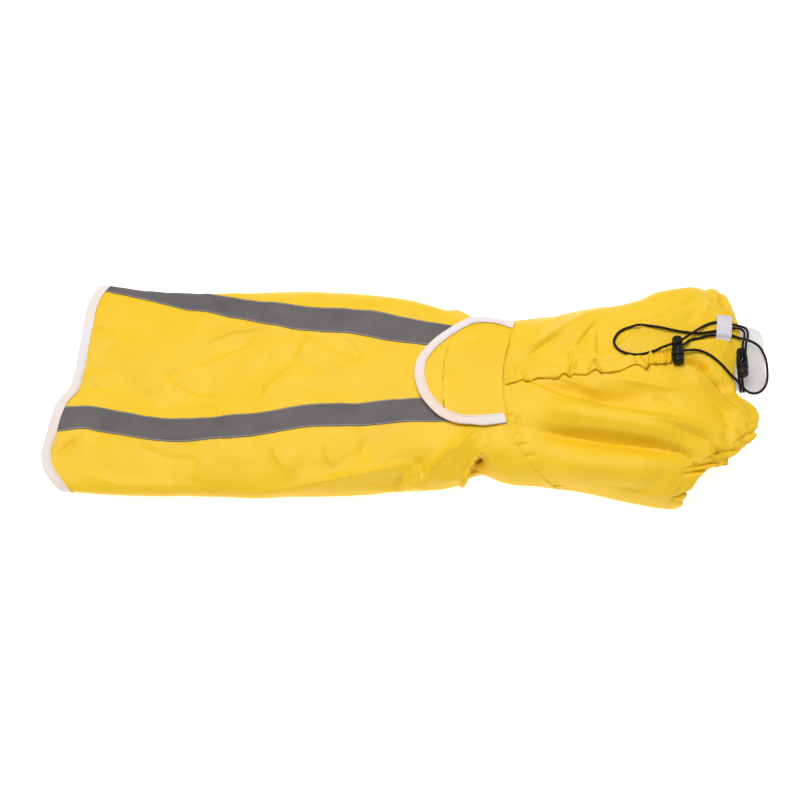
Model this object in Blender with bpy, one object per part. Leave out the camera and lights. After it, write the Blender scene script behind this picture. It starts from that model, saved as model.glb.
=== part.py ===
"""Dog raincoat with a gathered hood, laid out on its belly on a table.

The tables are in millimetres. x runs from the tail hem to the face opening, y to the wearer's left,
and z up from the table. Nodes are placed in metres with the origin under the middle of the coat.
"""

import math
from collections import namedtuple

import bmesh
import bpy
import numpy as np
from mathutils import Matrix, Vector

MM = 0.001

# Cloth and trims
CLOTH = 1.5  # wall of one layer of coated cloth
TRIM = 0.8  # wall of tape and binding
GAP = 0.3  # air between pieces that are sewn together
FOLD_GAP = 0.5  # air inside a binding, where it bends over the panel's edge
BINDING = 10.0  # width of the binding round the tail and the leash flap
TAPE_WIDTH = 26.0
TAPE_END = 0.93  # share of the back's length that the tapes run, to under the flap
TAPE_LIMIT = 0.95  # the left tape is trimmed here, where it runs out under the side at the tail
FACE_HEM = 13.0  # width of the elastic hem round the face
HEM_RISE = FOLD_GAP + TRIM  # the tail end lies on its binding, this far above the table
HEM_FADE = (14.0, 44.0)  # how far from the tail edge the cloth starts and ends coming down again

# Front leg openings in the belly panel
LEG_X = 415.0
LEG_Y = (-52.0, 38.0)
LEG_SIZE = (60.0, 50.0)

# Section of the coat: a flattened dome whose sides turn under
ROLL = 8.0  # radius where a side turns under
DOME_POWER = 2.8  # 2 is an ellipse, more is flatter on top
CROWN_Y = 5.0
MIDDLE_X = 361.75  # distance from the tail end to the origin


def table(columns, *rows):
    """The named columns of a table, as arrays."""
    return dict(zip(columns.split(), np.array(rows, float).T))


# Outline and height of the coat at stations along it
OUTLINE = table(
    "x     right   left   crown",
    (22, -107.6, 128, 22),
    (60, -111, 126, 24),
    (100, -112.4, 122, 27),
    (160, -112.4, 117, 31),
    (260, -112.4, 114, 36),
    (340, -110, 105.5, 39),
    (380, -106, 93.5, 41),
    (400, -104, 89, 42),
    (420, -99, 87.5, 43),
    (440, -92.3, 81, 44),
    (460, -97, 78, 45),
    (500, -101.5, 82.5, 50),
    (540, -108, 89, 56),
    (580, -118.5, 95, 61),
    (620, -126, 106, 62),
    (640, -126, 110.8, 60),
    (680, -123.5, 113, 55),
    (720, -117, 112, 47),
)

# Seams that go round the coat. round is 0 on the crown, -1 and 1 where the sides meet the underside
TAIL_EDGE = table(
    "round x",
    (-1.0, 31),
    (-0.9, 25),
    (-0.83, 18),
    (-0.74, 10.5),
    (-0.61, 6),
    (-0.42, 11),
    (-0.27, 15),
    (-0.15, 20),
    (-0.03, 30),
    (0.11, 34.5),
    (0.29, 37.5),
    (0.47, 40.5),
    (0.64, 43.5),
    (0.79, 49.5),
    (0.89, 55.5),
    (1.0, 62),
)
NECK_SEAM = table(
    "round x",
    (-1.0, 524),
    (-0.89, 511.5),
    (-0.81, 501),
    (-0.64, 480),
    (-0.52, 470),
    (-0.42, 465),
    (-0.25, 461),
    (-0.08, 460.5),
    (0.1, 462),
    (0.34, 468),
    (0.61, 475.5),
    (1.0, 484),
)
FACE_EDGE = table(
    "round x",
    (-1.0, 630),
    (-0.84, 635.3),
    (-0.76, 642),
    (-0.68, 652),
    (-0.61, 673.5),
    (-0.54, 692),
    (-0.47, 705),
    (-0.38, 710),
    (-0.3, 708.5),
    (-0.255, 703),
    (-0.18, 692.3),
    (-0.1, 689),
    (-0.02, 689.3),
    (0.09, 692.5),
    (0.15, 697),
    (0.37, 697),
    (0.57, 692),
    (0.7, 688.5),
    (0.82, 687),
    (0.9, 685),
    (1.0, 678),
)

# Middle lines of the reflective tapes. around is the distance from the crown, to the left if positive
TAPE_LEFT = table(
    "x    around",
    (50, 128),
    (66, 123),
    (109, 111.5),
    (160, 96),
    (201, 83.5),
    (234, 74.5),
    (265, 67.5),
    (303, 64),
    (330, 60),
    (358, 54),
    (390, 48.5),
    (470, 38),
)
TAPE_RIGHT = table(
    "x    around",
    (20, -41),
    (58, -39.5),
    (80, -45.5),
    (105, -52),
    (141, -56),
    (180, -55.5),
    (229, -51),
    (267, -45),
    (316, -43),
    (358, -39),
    (403, -39.5),
    (470, -37),
)

# Leash flap, sewn into the neck seam and lying towards the tail
FLAP_MIDDLE = 2.5  # distance round from the crown
FLAP_HALF = 60.0  # half its width at the seam
FLAP_SPREAD = 3.0  # how much wider each side is where the rounded end begins
FLAP_STRAIGHT = 30.0  # length of its straight sides
FLAP_END = 57.0  # length of its rounded end
FLAP_POWER = 2.3
FLAP_LIFT = 2.9  # its underside clears the coat, the tapes and its own binding
FLAP_SEWN = 1.7  # the same, at the neck seam

# Casing along the crown of the hood: its upper and lower edges, as distances from the crown
CASING = table(
    "x    upper  lower",
    (466, 4, -14),
    (490, 3, -12.5),
    (520, 1, -12),
    (550, 0, -11),
    (580, 3, -9),
    (600, 7, -8),
    (610, 10, -6),
    (618, 14, -4),
    (624.5, 18, -2),
)
CASING_LIFT = 0.8
# Gathers drawn up across the casing; it swells at its mouth, where the cord comes out
PUCKERS = table(
    "x    height width",
    (474, 1.0, 4),
    (481, 2.6, 3),
    (493, 0.8, 6),
    (510, 0.9, 7),
    (527, 3.0, 3),
    (534, 1.4, 3),
    (546, 2.6, 3),
    (557, 3.0, 3),
    (571, 1.0, 6),
    (586, 1.6, 4),
    (594, 2.8, 2.5),
    (600, 3.2, 2.5),
    (606, 2.4, 2.5),
    (612, 2.8, 2.5),
    (618, 3.4, 3),
    (626, 7.2, 4),
)

# Gathers of the elastic face hem: how deep its edge is drawn in
FACE_GATHERS = table(
    "round depth",
    (-1.0, 1.6),
    (-0.75, 3.0),
    (-0.45, 3.0),
    (-0.28, 1.0),
    (-0.15, 0.3),
    (0.33, 0.3),
    (0.55, 0.6),
    (0.92, 0.6),
    (1.0, 1.6),
)
FACE_WAVE = 3.3  # points of the hem's edge to one gather
FACE_DRAW = 2.0  # how far the elastic draws the edge in

# Clear visor under the face hem, and the ribbon that keeps the cords on the hood
VISOR = 1.0
VISOR_ROUND = (-0.14, 0.4)
VISOR_X = (683.0, 721.0)
VISOR_CORNERS = (15.0, 6.0)  # radius of its lower and of its upper corner
VISOR_DROOP = 4.0
VISOR_GATHERS = 0.3  # depth of the hem's gathers above it
TAB = 1.0
TAB_X = (671.0, 686.0)
TAB_SLANT = 0.1  # it leans this much towards the face for each millimetre round
TAB_ARCH = table(
    "around lift",
    (30.5, 0.3),
    (32.5, 0.3),
    (34.8, 3.7),
    (40.0, 4.1),
    (51.0, 4.1),
    (56.2, 3.7),
    (58.5, 0.3),
    (62.3, 0.3),
)

# Cord locks: a barrel with a slot for the cord, and the button that would free it
BARREL = 6.0
BARREL_LENGTH = 22.0
SLOT_FROM_END = 12.0
SLOT_LENGTH = 12.0
SLOT_WIDTH = 7.0
BUTTON = 4.9
BUTTON_LENGTH = 8.5
BUTTON_DEPTH = 2.6  # how far it reaches into the barrel
CROWN_LOCK = (631.5, 27.7, 6.5)  # x, distance round and height of the barrel's closed end
BRIM_LOCK = (693.5, 16.7, 9.9)

# Elastic cords, as x, distance round from the crown and height above the coat of their middle lines
CORD = 2.6
CORD_POINTS = 76
CORD_BENDS = 12.0  # how strongly the points gather in the bends
BRIM_ROUTE = table(
    "x      around lift",
    (694.3, -26, -2.2),
    (693.9, -20, -2.2),
    (693.2, -12, -1.6),
    (692.4, -4, 0.7),
    (692.0, 0.7, 2.97),
    (692.0, 3.6, 5.9),
    (692.0, 4.7, 9.9),
    (692.0, 5.8, 13.9),
    (692.0, 8.7, 16.8),
    (692.2, 13, 17.9),
    (693.3, 20, 17.0),
    (696.7, 30, 12.3),
    (698.0, 40, 7.2),
    (694.0, 45.0, 3.6),
    (686.0, 44.8, 1.9),
    (678.0, 43.0, 1.9),
    (670.5, 40.2, 1.9),
    (655.5, 36.6, 1.9),
    (642.0, 36.4, 1.9),
    (625.5, 37.8, 1.9),
    (609.0, 40.6, 1.9),
    (596.0, 42.6, 1.9),
    (586.0, 42.2, 1.9),
    (577.5, 38.2, 1.9),
    (572.5, 32.2, 1.9),
    (570.5, 26.2, 1.9),
    (571.5, 20.3, 1.9),
    (575.0, 15.2, 1.9),
    (581.0, 11.4, 1.9),
    (590.0, 9.2, 1.9),
    (598.0, 9.4, 2.6),
    (605.0, 10.6, 4.4),
    (611.0, 11.8, 7.0),
    (616.5, 13.2, 9.8),
    (621.0, 14.0, 12.2),
    (625.0, 15.0, 14.2),
    (631.0, 17.6, 15.0),
    (637.5, 22.8, 12.9),
    (645.0, 31.0, 8.4),
    (655.0, 40.8, 4.2),
    (663.5, 47.4, 2.4),
    (672.0, 51.2, 1.9),
    (680.0, 51.6, 1.9),
    (688.0, 50.6, 1.9),
    (695.0, 49.2, 2.6),
    (700.5, 45.8, 4.6),
    (701.6, 39.4, 8.0),
    (699.8, 30, 12.8),
    (696.4, 20, 17.1),
    (695.2, 13, 17.9),
    (695.0, 8.7, 16.8),
    (695.0, 5.8, 13.9),
    (695.0, 4.7, 9.9),
    (695.0, 3.6, 5.9),
    (695.0, 0.7, 2.97),
    (695.4, -4, 0.7),
    (696.2, -12, -1.6),
    (696.9, -20, -2.2),
    (697.3, -25.5, -2.2),
)
CASING_ROUTE = table(
    "x      around lift",
    (625.3, 18.7, 6.5),
    (631.5, 18.7, 6.5),
    (637.0, 19.4, 6.3),
    (641.0, 22.6, 4.8),
    (645.0, 26.6, 3.1),
    (650.0, 29.8, 2.1),
    (656.0, 31.8, 1.9),
    (663.0, 34.0, 1.9),
    (671.0, 35.8, 1.9),
    (679.5, 37.0, 1.9),
    (687.0, 36.8, 1.9),
    (694.0, 35.0, 2.0),
    (703.5, 33.8, 1.5),
    (712.0, 31.4, 0.0),
    (718.0, 26.1, -1.5),
    (721.5, 15.1, -2.5),
    (722.0, -0.9, -2.5),
    (720.0, -13.2, -1.0),
    (715.0, -21.9, 0.6),
    (708.0, -27.0, 2.0),
    (700.5, -27.0, 2.6),
    (694.5, -21.8, 2.6),
    (689.5, -15.0, 2.3),
    (683.0, -8.1, 2.2),
    (675.0, 1.8, 1.9),
    (665.0, 10.6, 1.9),
    (657.0, 14.4, 2.2),
    (649.5, 15.2, 3.6),
    (643.0, 14.0, 5.4),
    (637.0, 12.8, 6.4),
    (631.5, 12.7, 6.5),
    (625.3, 12.7, 6.5),
)


# Columns of points round the back: how many spans lie between its sides, its tapes and the crown
BACK_SPANS = (6, 2, 3, 3, 2, 4)
SIDE_EASE = 1.3  # over 1 brings the columns closer together where the sides turn under
UNDER_SPANS = 6
UNDER_GAP = 0.003  # air between the underside and the sides, as a share of the way round
HOOD_CROWN = 2 * sum(BACK_SPANS[:3])  # the hood's column on the crown
CROWN_PARTING = 0.0012  # half the air between the hood's halves, as a share of the way round
BACK_ROWS = 42
CASING_ROWS = 55
HOOD_ROWS = 25

Fold = namedtuple("Fold", "width height path")
FOLD_FADE = 0.3  # share of a fold's length over which each end fades
SEAM_PINCH, SEAM_REACH = 0.5, 8.0  # the neck seam holds the folds down by this share, this far
SIDE_FADE = 0.12  # share of the way round over which folds fade to the flat underside

# Ridges and, where the height is negative, troughs. A path's points are x and the distance around
# from the crown, to the wearer's left if positive
FOLDS = (
    # Back: the shoulder of the left side, a sag between the tapes, and creases low on the right
    Fold(28, 8, ((170, 88), (300, 92), (440, 78))),
    Fold(34, -3, ((110, 10), (230, 12), (350, 6))),
    Fold(9, 3.5, ((242, -117), (300, -107), (358, -95))),
    Fold(6, -3, ((366, -96), (374, -115))),
    Fold(8, 5, ((376, -116), (395, -98), (414, -81), (438, -58))),
    Fold(8, -5, ((429, -112), (435, -96), (441, -84))),
    # Right half of the hood: a trough under the casing, two rolls and the deep valley between them
    Fold(10, -6, ((492, -24), (535, -32), (575, -37), (609, -31))),
    Fold(13, 7, ((484, -38), (526, -48), (565, -55), (596, -61), (622, -67), (660, -77))),
    Fold(9, -8, ((484, -66), (511, -70), (567, -80), (622, -91), (648, -97))),
    Fold(16, 5, ((505, -98), (560, -108), (618, -120))),
    Fold(7, 4, ((642, -6), (664, -23), (690, -42), (704, -58))),
    Fold(9, -4, ((670, -12), (675, -34), (679, -60))),
    # Left half of the hood: soft diagonals and the corner at the face
    Fold(10, 3, ((480, 20), (523, 43), (574, 80))),
    Fold(12, -2, ((556, 60), (600, 68), (640, 70))),
    Fold(14, 5, ((600, 88), (640, 100), (674, 108))),
    Fold(8, 3, ((668, 111), (682, 112))),
    Fold(7, -4, ((677, 74), (677, 94))),
)


def smooth(at, xs, ys):
    """A cubic through the points (xs, ys), level past its ends."""
    at = np.clip(at, xs[0], xs[-1])
    i = np.clip(np.searchsorted(xs, at, side="right") - 1, 0, len(xs) - 2)
    slope = np.gradient(ys, xs)
    step = xs[i + 1] - xs[i]
    t = (at - xs[i]) / step
    rise = ys[i + 1] - ys[i]
    bend = slope[i] * step - rise
    back = rise - slope[i + 1] * step
    return ys[i] + t * rise + t * (1 - t) * ((1 - t) * bend + t * back)


def outline(column, x):
    return smooth(x, OUTLINE["x"], OUTLINE[column])


def profile(width, height):
    """Arc length, y and z down one side of a section, from the crown to the underside."""
    width, height = np.asarray(width, float), np.asarray(height, float)
    fan = (slice(None),) + (None,) * width.ndim
    angle = np.linspace(0, math.pi / 2, 60)[fan]
    turn = np.linspace(0, math.pi / 2, 13)[1:][fan]
    power = 2 / DOME_POWER
    y = np.concatenate([width * np.sin(angle) ** power, width - ROLL * (1 - np.cos(turn))])
    dome = ROLL + (height - ROLL) * np.abs(np.cos(angle)) ** power
    z = np.concatenate([dome, ROLL * (1 - np.sin(turn)) + 0 * width])
    steps = np.hypot(np.diff(y, axis=0), np.diff(z, axis=0))
    arc = np.concatenate([np.zeros_like(y[:1]), np.cumsum(steps, axis=0)])
    return arc, y, z


def seam(where, u):
    """x of a seam or edge that goes round the coat. Past 1 it crosses the underside to 3, or -1."""
    u = np.asarray(u, float)
    first, last = where["x"][0], where["x"][-1]
    under = last + (first - last) * (1 - np.cos((u - 1) / 2 * math.pi)) / 2
    return np.where(u <= 1, smooth(u, where["round"], where["x"]), under)


def section(x, u):
    """y, z and the outward direction of the plain section, u of the way round it."""
    x, u = np.broadcast_arrays(np.asarray(x, float), np.asarray(u, float))
    right, left, crown = (outline(column, x) for column in ("right", "left", "crown"))
    side = np.where(u < 0, -1.0, 1.0)
    arc, across, up = profile(np.where(u < 0, CROWN_Y - right, left - CROWN_Y), crown)
    goal = np.minimum(np.abs(u), 1.0) * arc[-1]
    step = np.clip((arc[1:-1] < goal).sum(axis=0), 0, len(arc) - 2)
    low, high = (np.take_along_axis(arc, (step + k)[None], 0)[0] for k in (0, 1))
    part = (goal - low) / (high - low)

    def between(values):
        ends = [np.take_along_axis(values, (step + k)[None], 0)[0] for k in (0, 1)]
        return ends[0] + part * (ends[1] - ends[0]), ends[1] - ends[0]

    y, dy = between(across)
    z, dz = between(up)
    size = np.hypot(dy, dz)
    top = u <= 1
    under = (left - ROLL) + (u - 1) / 2 * (right - left + 2 * ROLL)
    return (
        np.where(top, CROWN_Y + side * y, under),
        np.where(top, z, 0.0),
        np.where(top, -side * dz / size, 0.0),
        np.where(top, dy / size, -1.0),
    )


def side_length(x, u):
    """Length of cloth from the crown down to the underside, on the side of u."""
    x, u = np.broadcast_arrays(np.asarray(x, float), np.asarray(u, float))
    width = np.where(u < 0, CROWN_Y - outline("right", x), outline("left", x) - CROWN_Y)
    return profile(width, outline("crown", x))[0][-1]


def relief(x, around):
    """Height of the folds at x and a distance around from the crown, to the left if positive."""
    height = np.zeros_like(x)
    for fold in FOLDS:
        path = np.array(fold.path, float)
        runs = np.diff(path, axis=0)
        reach = np.concatenate([[0], np.cumsum(np.hypot(*runs.T))])
        nearest = np.full(x.shape, np.inf)
        along = np.zeros(x.shape)
        for start, run, begun, size in zip(path, runs, reach, np.diff(reach)):
            away = np.stack([x - start[0], around - start[1]], axis=-1)
            share = np.clip(away @ run / size**2, 0, 1)
            distance = np.linalg.norm(away - share[..., None] * run, axis=-1)
            closer = distance < nearest
            along = np.where(closer, begun + share * size, along)
            nearest = np.minimum(nearest, distance)
        fade = np.clip(np.minimum(along, reach[-1] - along) / (FOLD_FADE * reach[-1]), 0, 1)
        fade = 0.1 + 0.9 * fade * fade * (3 - 2 * fade)
        height += fold.height * np.exp(-((nearest / fold.width) ** 2)) * fade
    return height


def coat(x, u):
    """The coat's outer face, x from the tail end and u round it, in millimetres from the origin."""
    x, u = np.broadcast_arrays(np.asarray(x, float), np.asarray(u, float))
    y, z, out_y, out_z = section(x, u)
    near_side = np.clip((1 - np.abs(u)) / SIDE_FADE, 0, 1)
    height = relief(x, u * side_length(x, u)) * near_side * near_side * (3 - 2 * near_side)
    height *= 1 - SEAM_PINCH * np.exp(-(((x - seam(NECK_SEAM, u)) / SEAM_REACH) ** 2))
    near, far = HEM_FADE
    rise = HEM_RISE * np.clip((far - (x - seam(TAIL_EDGE, u))) / (far - near), 0, 1)
    return np.stack([x - MIDDLE_X, y + height * out_y, z + height * out_z + rise], axis=-1)


def normals(x, u):
    """Unit outward directions of coat(x, u)."""
    along = coat(x + 1, u) - coat(x - 1, u)
    round_it = coat(x, u + 0.004) - coat(x, u - 0.004)
    out = np.cross(along, round_it)
    return out / np.linalg.norm(out, axis=-1, keepdims=True)


def layer(x, u, lift=0.0):
    """Points at a height above the coat's outer face, or inside it where the height is negative."""
    return coat(x, u) + normals(x, u) * np.asarray(lift, float)[..., None]


def round_at(x, around):
    """The share u of the way round that lies a distance around from the crown."""
    x, around = np.broadcast_arrays(np.asarray(x, float), np.asarray(around, float))
    return around / side_length(x, np.sign(around))


def inset(edge, u, width):
    """How far along x a strip of this width reaches, where the edge slants across the cloth."""
    step = 0.01
    rise = seam(edge, u + step) - seam(edge, u - step)
    middle = edge["x"].mean()
    run = np.linalg.norm(coat(middle, u + step) - coat(middle, u - step), axis=-1)
    return width * np.hypot(1, rise / run)


def material(name, color, roughness, alpha=1.0):
    made = bpy.data.materials.new(name)
    made.use_nodes = True
    shader = made.node_tree.nodes["Principled BSDF"]
    shader.inputs["Base Color"].default_value = (*color, 1.0)
    shader.inputs["Roughness"].default_value = roughness
    shader.inputs["Alpha"].default_value = alpha
    made.diffuse_color = (*color, alpha)
    return made


def add(name, mesh, finish):
    mesh.materials.append(finish)
    mesh.shade_smooth()
    mesh.set_sharp_from_angle(angle=math.radians(40))
    made = bpy.data.objects.new(name, mesh)
    bpy.context.scene.collection.objects.link(made)
    return made


def slab(name, outer, inner, finish, ring=False, turned_rows=()):
    """A wall between two grids of points, whose rows run along the coat. A ring joins each row's ends.

    Quads in the turned rows are split the other way, as the wall beside them is.
    """
    rows, columns = outer.shape[:2]
    below = rows * columns
    spans = columns if ring else columns - 1

    def at(row, column):
        return row * columns + column % columns

    faces = []
    for row in range(rows - 1):
        for column in range(spans):
            quad = (
                at(row, column),
                at(row + 1, column),
                at(row + 1, column + 1),
                at(row, column + 1),
            )
            if row in turned_rows:
                quad = quad[1:] + quad[:1]
            faces += [quad, tuple(below + quad[corner] for corner in (0, 3, 2, 1))]
    for column in range(spans):
        first = (at(0, column), at(0, column + 1))
        last = (at(rows - 1, column + 1), at(rows - 1, column))
        faces += [(a, b, b + below, a + below) for a, b in (first, last)]
    if not ring:
        for row in range(rows - 1):
            near = (at(row + 1, 0), at(row, 0))
            far = (at(row, columns - 1), at(row + 1, columns - 1))
            faces += [(a, b, b + below, a + below) for a, b in (near, far)]
    points = np.concatenate([outer.reshape(-1, 3), inner.reshape(-1, 3)]) * MM
    mesh = bpy.data.meshes.new(name)
    mesh.from_pydata(points.tolist(), [], faces)
    return add(name, mesh, finish)


def wall(name, x, u, finish, lift=0.0, thickness=CLOTH, ring=False):
    """A piece that follows the coat, with its inner face at a height above the coat's own outer face."""
    lift = np.broadcast_to(lift, np.broadcast_shapes(np.shape(x), np.shape(u)))
    return slab(name, layer(x, u, lift + thickness), layer(x, u, lift), finish, ring)


def back_keys(share):
    """u of the sides, the tapes' edges and the crown, at a share of the way from tail to neck."""
    keys = [np.full_like(share, -1.0)]
    for tape, edges in ((TAPE_RIGHT, (-0.5, 0.5)), (TAPE_LEFT, (-0.5, 0.5))):
        if tape is TAPE_LEFT:
            keys.append(np.zeros_like(share))
        for edge in edges:
            u = np.zeros_like(share)
            for _ in range(4):
                x = back_x(share, u)
                u = round_at(x, smooth(x, tape["x"], tape["around"]) + edge * TAPE_WIDTH)
                u = np.minimum(u, TAPE_LIMIT)
            keys.append(u)
    return keys + [np.full_like(share, 1.0)]


def back_x(share, u):
    start = seam(TAIL_EDGE, u) + inset(TAIL_EDGE, u, BINDING) + GAP
    return start + share * (seam(NECK_SEAM, u) - GAP / 2 - start)


def back_columns(share):
    """u of every column of the back, one row for each share."""
    keys = back_keys(share)
    columns = [keys[0]]
    for spans, low, high in zip(BACK_SPANS, keys, keys[1:]):
        steps = np.arange(1, spans + 1) / spans
        if low is keys[0]:
            steps = steps**SIDE_EASE
        if high is keys[-1]:
            steps = 1 - (1 - steps) ** SIDE_EASE
        columns += [low + (high - low) * step for step in steps]
    return np.stack(columns, axis=-1)


def under_columns(gap):
    """u of the columns that cross the underside from the left side to the right."""
    return np.linspace(1 + gap, 3 - gap, UNDER_SPANS + 1)


def rows_of(start, end, u, shares):
    """x of a grid whose rows lie at shares of the way between two seams."""
    return start + np.asarray(shares, float)[:, None] * (end - start) + 0 * u


def back_panel(finish):
    share = np.linspace(0, 1, BACK_ROWS)
    u = back_columns(share)
    x = back_x(share[:, None], u)
    edge = seam(TAIL_EDGE, u[:1]) + TRIM + 3 * GAP
    return wall("back_panel", np.vstack([edge, x]), np.vstack([u[:1], u]), finish, -CLOTH)


def tape(name, first, finish):
    """A reflective tape on three of the back's columns."""
    share = np.linspace(0, 1, BACK_ROWS)[: round(TAPE_END * BACK_ROWS)]
    u = back_columns(share)[:, first : first + 3]
    return wall(name, back_x(share[:, None], u), u, finish, GAP, TRIM)


def tail_binding(finish):
    """Binding folded over the tail edge, all the way round."""
    u = np.concatenate([back_columns(np.zeros(1))[0], under_columns(0.02)])
    edge = seam(TAIL_EDGE, u)
    width = inset(TAIL_EDGE, u, BINDING)
    out, into = FOLD_GAP + TRIM, -CLOTH - FOLD_GAP - TRIM
    outer = [(width, into), (0.9, into), (0, -CLOTH / 2), (0.9, out), (width, out)]
    inner = [
        (width, into + TRIM),
        (TRIM, into + TRIM),
        (TRIM, -CLOTH / 2),
        (TRIM, FOLD_GAP),
        (width, FOLD_GAP),
    ]
    faces = [
        np.stack([layer(edge + along, u, np.full(u.shape, lift)) for along, lift in path])
        for path in (outer, inner)
    ]
    return slab("tail_binding", *faces, finish, ring=True, turned_rows=(0, 1))


def flap_rows(inward):
    """Distances down from the neck seam and half widths of the leash flap, drawn in by a distance."""
    straight = np.linspace(0, FLAP_STRAIGHT, 4)[:-1]
    angle = np.radians(np.linspace(0, 84, 9))
    down = np.concatenate([straight, FLAP_STRAIGHT + (FLAP_END - inward) * np.sin(angle)])
    side = FLAP_HALF + FLAP_SPREAD * straight / FLAP_STRAIGHT - inward
    end = (FLAP_HALF + FLAP_SPREAD - inward) * np.cos(angle) ** (2 / FLAP_POWER)
    return down, np.concatenate([side, end])


def on_flap(down, across, lift):
    """Points at a height above the flap's underside, from their place down and across the flap."""
    u = across / FLAP_HALF * 0.4
    for _ in range(4):
        x = seam(NECK_SEAM, u) - GAP / 2 - down
        u = round_at(x, FLAP_MIDDLE + across)
    sewn = np.clip(down / FLAP_STRAIGHT, 0, 1)
    under = FLAP_SEWN + (FLAP_LIFT - FLAP_SEWN) * sewn * sewn * (3 - 2 * sewn)
    return layer(x, u, under + lift)


def leash_flap(finish):
    down, half = flap_rows(TRIM + 1.5 * GAP)
    under_binding = np.clip(half - BINDING, 0.3 * half, None)  # where the binding's width ends
    middle = under_binding[:, None] * np.linspace(-1, 1, 9)
    across = np.concatenate([-half[:, None], middle, half[:, None]], axis=1)
    down = down[:, None] + 0 * across
    outer, inner = (on_flap(down[::-1], across[::-1], lift) for lift in (CLOTH, 0.0))
    return slab("leash_flap", outer, inner, finish)


def flap_binding(finish):
    """Binding folded over the flap's free edge."""
    down, half = flap_rows(0)
    tip = np.linspace(-1, 1, 5)[1:-1] * half[-1]
    down = np.concatenate([down, down[-1] + 0 * tip, down[::-1]])
    across = np.concatenate([-half, tip, half[::-1]])
    edge = np.stack([down, across], axis=-1)
    run = np.gradient(edge, axis=0)
    run /= np.linalg.norm(run, axis=-1, keepdims=True)
    inward = np.stack([-run[:, 1], run[:, 0]], axis=-1)
    inward[[0, -1], 0] = 0
    out, into = CLOTH + FOLD_GAP + TRIM, -FOLD_GAP - TRIM
    outer = [(BINDING, into), (0.9, into), (0, CLOTH / 2), (0.9, out), (BINDING, out)]
    inner = [
        (BINDING, into + TRIM),
        (TRIM, into + TRIM),
        (TRIM, CLOTH / 2),
        (TRIM, out - TRIM),
        (BINDING, out - TRIM),
    ]
    faces = []
    for path in (outer, inner):
        rows = [edge + inward * distance for distance, _ in path]
        faces.append(
            np.stack([on_flap(*row.T, lift) for row, (_, lift) in zip(rows, path)])
        )
    return slab("flap_binding", *faces, finish, turned_rows=(2, 3))


def hood_columns():
    """u of the hood's columns over the top: the back's at the neck, and one more between each two."""
    back = back_columns(np.ones(1))[0]
    return np.sort(np.concatenate([back, (back[1:] + back[:-1]) / 2]))


def face_seam(u):
    return seam(FACE_EDGE, u) - inset(FACE_EDGE, u, FACE_HEM)


def hood_x(u):
    """x of the hood's rows, from the neck seam to the face hem."""
    start, end = seam(NECK_SEAM, u) + 1.4 * GAP, face_seam(u) - GAP / 2
    return rows_of(start, end, u, np.linspace(0, 1, HOOD_ROWS))


def hood(finish):
    """The hood's two halves, seamed along the crown."""
    u = hood_columns()
    halves = (
        ("hood_right", np.append(u[:HOOD_CROWN], -CROWN_PARTING)),
        ("hood_left", np.append(CROWN_PARTING, u[HOOD_CROWN + 1 :])),
    )
    for name, columns in halves:
        wall(name, hood_x(columns), columns, finish, -CLOTH)


def belly_panel(finish):
    u = under_columns(UNDER_GAP)
    x = back_x(np.linspace(0, 1, BACK_ROWS)[:, None], u)
    edge = seam(TAIL_EDGE, u)[None] + TRIM + 3 * GAP
    panel = wall("belly_panel", np.vstack([edge, x]), u, finish, -CLOTH)
    leg_openings(panel)


def throat_panel(finish):
    u = under_columns(UNDER_GAP)
    return wall("throat_panel", hood_x(u), u, finish, -CLOTH)


def leg_openings(panel):
    """Cuts the two front leg openings through the belly panel."""
    for side, y in (("right", LEG_Y[0]), ("left", LEG_Y[1])):
        bpy.ops.mesh.primitive_cylinder_add(vertices=32, radius=0.5, depth=20 * MM)
        cutter = bpy.context.object
        cutter.name = f"leg_cutter_{side}"
        cutter.scale = (LEG_SIZE[0] * MM, LEG_SIZE[1] * MM, 1)
        bpy.ops.object.transform_apply(location=False, rotation=False, scale=True)
        cutter.location = ((LEG_X - MIDDLE_X) * MM, y * MM, 0)
        cutter.hide_render = True
        cutter.display_type = "WIRE"
        cut = panel.modifiers.new(cutter.name, "BOOLEAN")
        cut.operation = "DIFFERENCE"
        cut.object = cutter


def face_hem(finish):
    """The elastic hem round the face, gathered in soft waves that grow towards its edge."""
    u = np.concatenate([hood_columns(), under_columns(UNDER_GAP)[1:-1]])
    share = np.array([0.0, 0.5, 1.0])
    x = rows_of(face_seam(u) + GAP / 2, seam(FACE_EDGE, u), u, share)
    points, out = coat(x, u), normals(x, u)
    over = np.where(u > 1, 3 - 2 * u, u)  # the underside's gathers mirror those of the top
    depth = smooth(over, FACE_GATHERS["round"], FACE_GATHERS["depth"])
    points, out, depth = (halved(values) for values in (points, out, depth[None]))
    wave = (1 - np.cos(2 * math.pi * np.arange(depth.shape[1]) / FACE_WAVE)) / 2
    lift = -(depth * wave + FACE_DRAW) * share[:, None] ** 1.5
    outer = points + out * lift[..., None]
    return slab("face_hem", outer, outer - out * CLOTH, finish, ring=True)


def halved(values):
    """One more column half way between each two, round a ring."""
    between = (values + np.roll(values, -1, axis=1)) / 2
    return np.stack([values, between], axis=2).reshape(values.shape[0], -1, *values.shape[2:])


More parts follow.
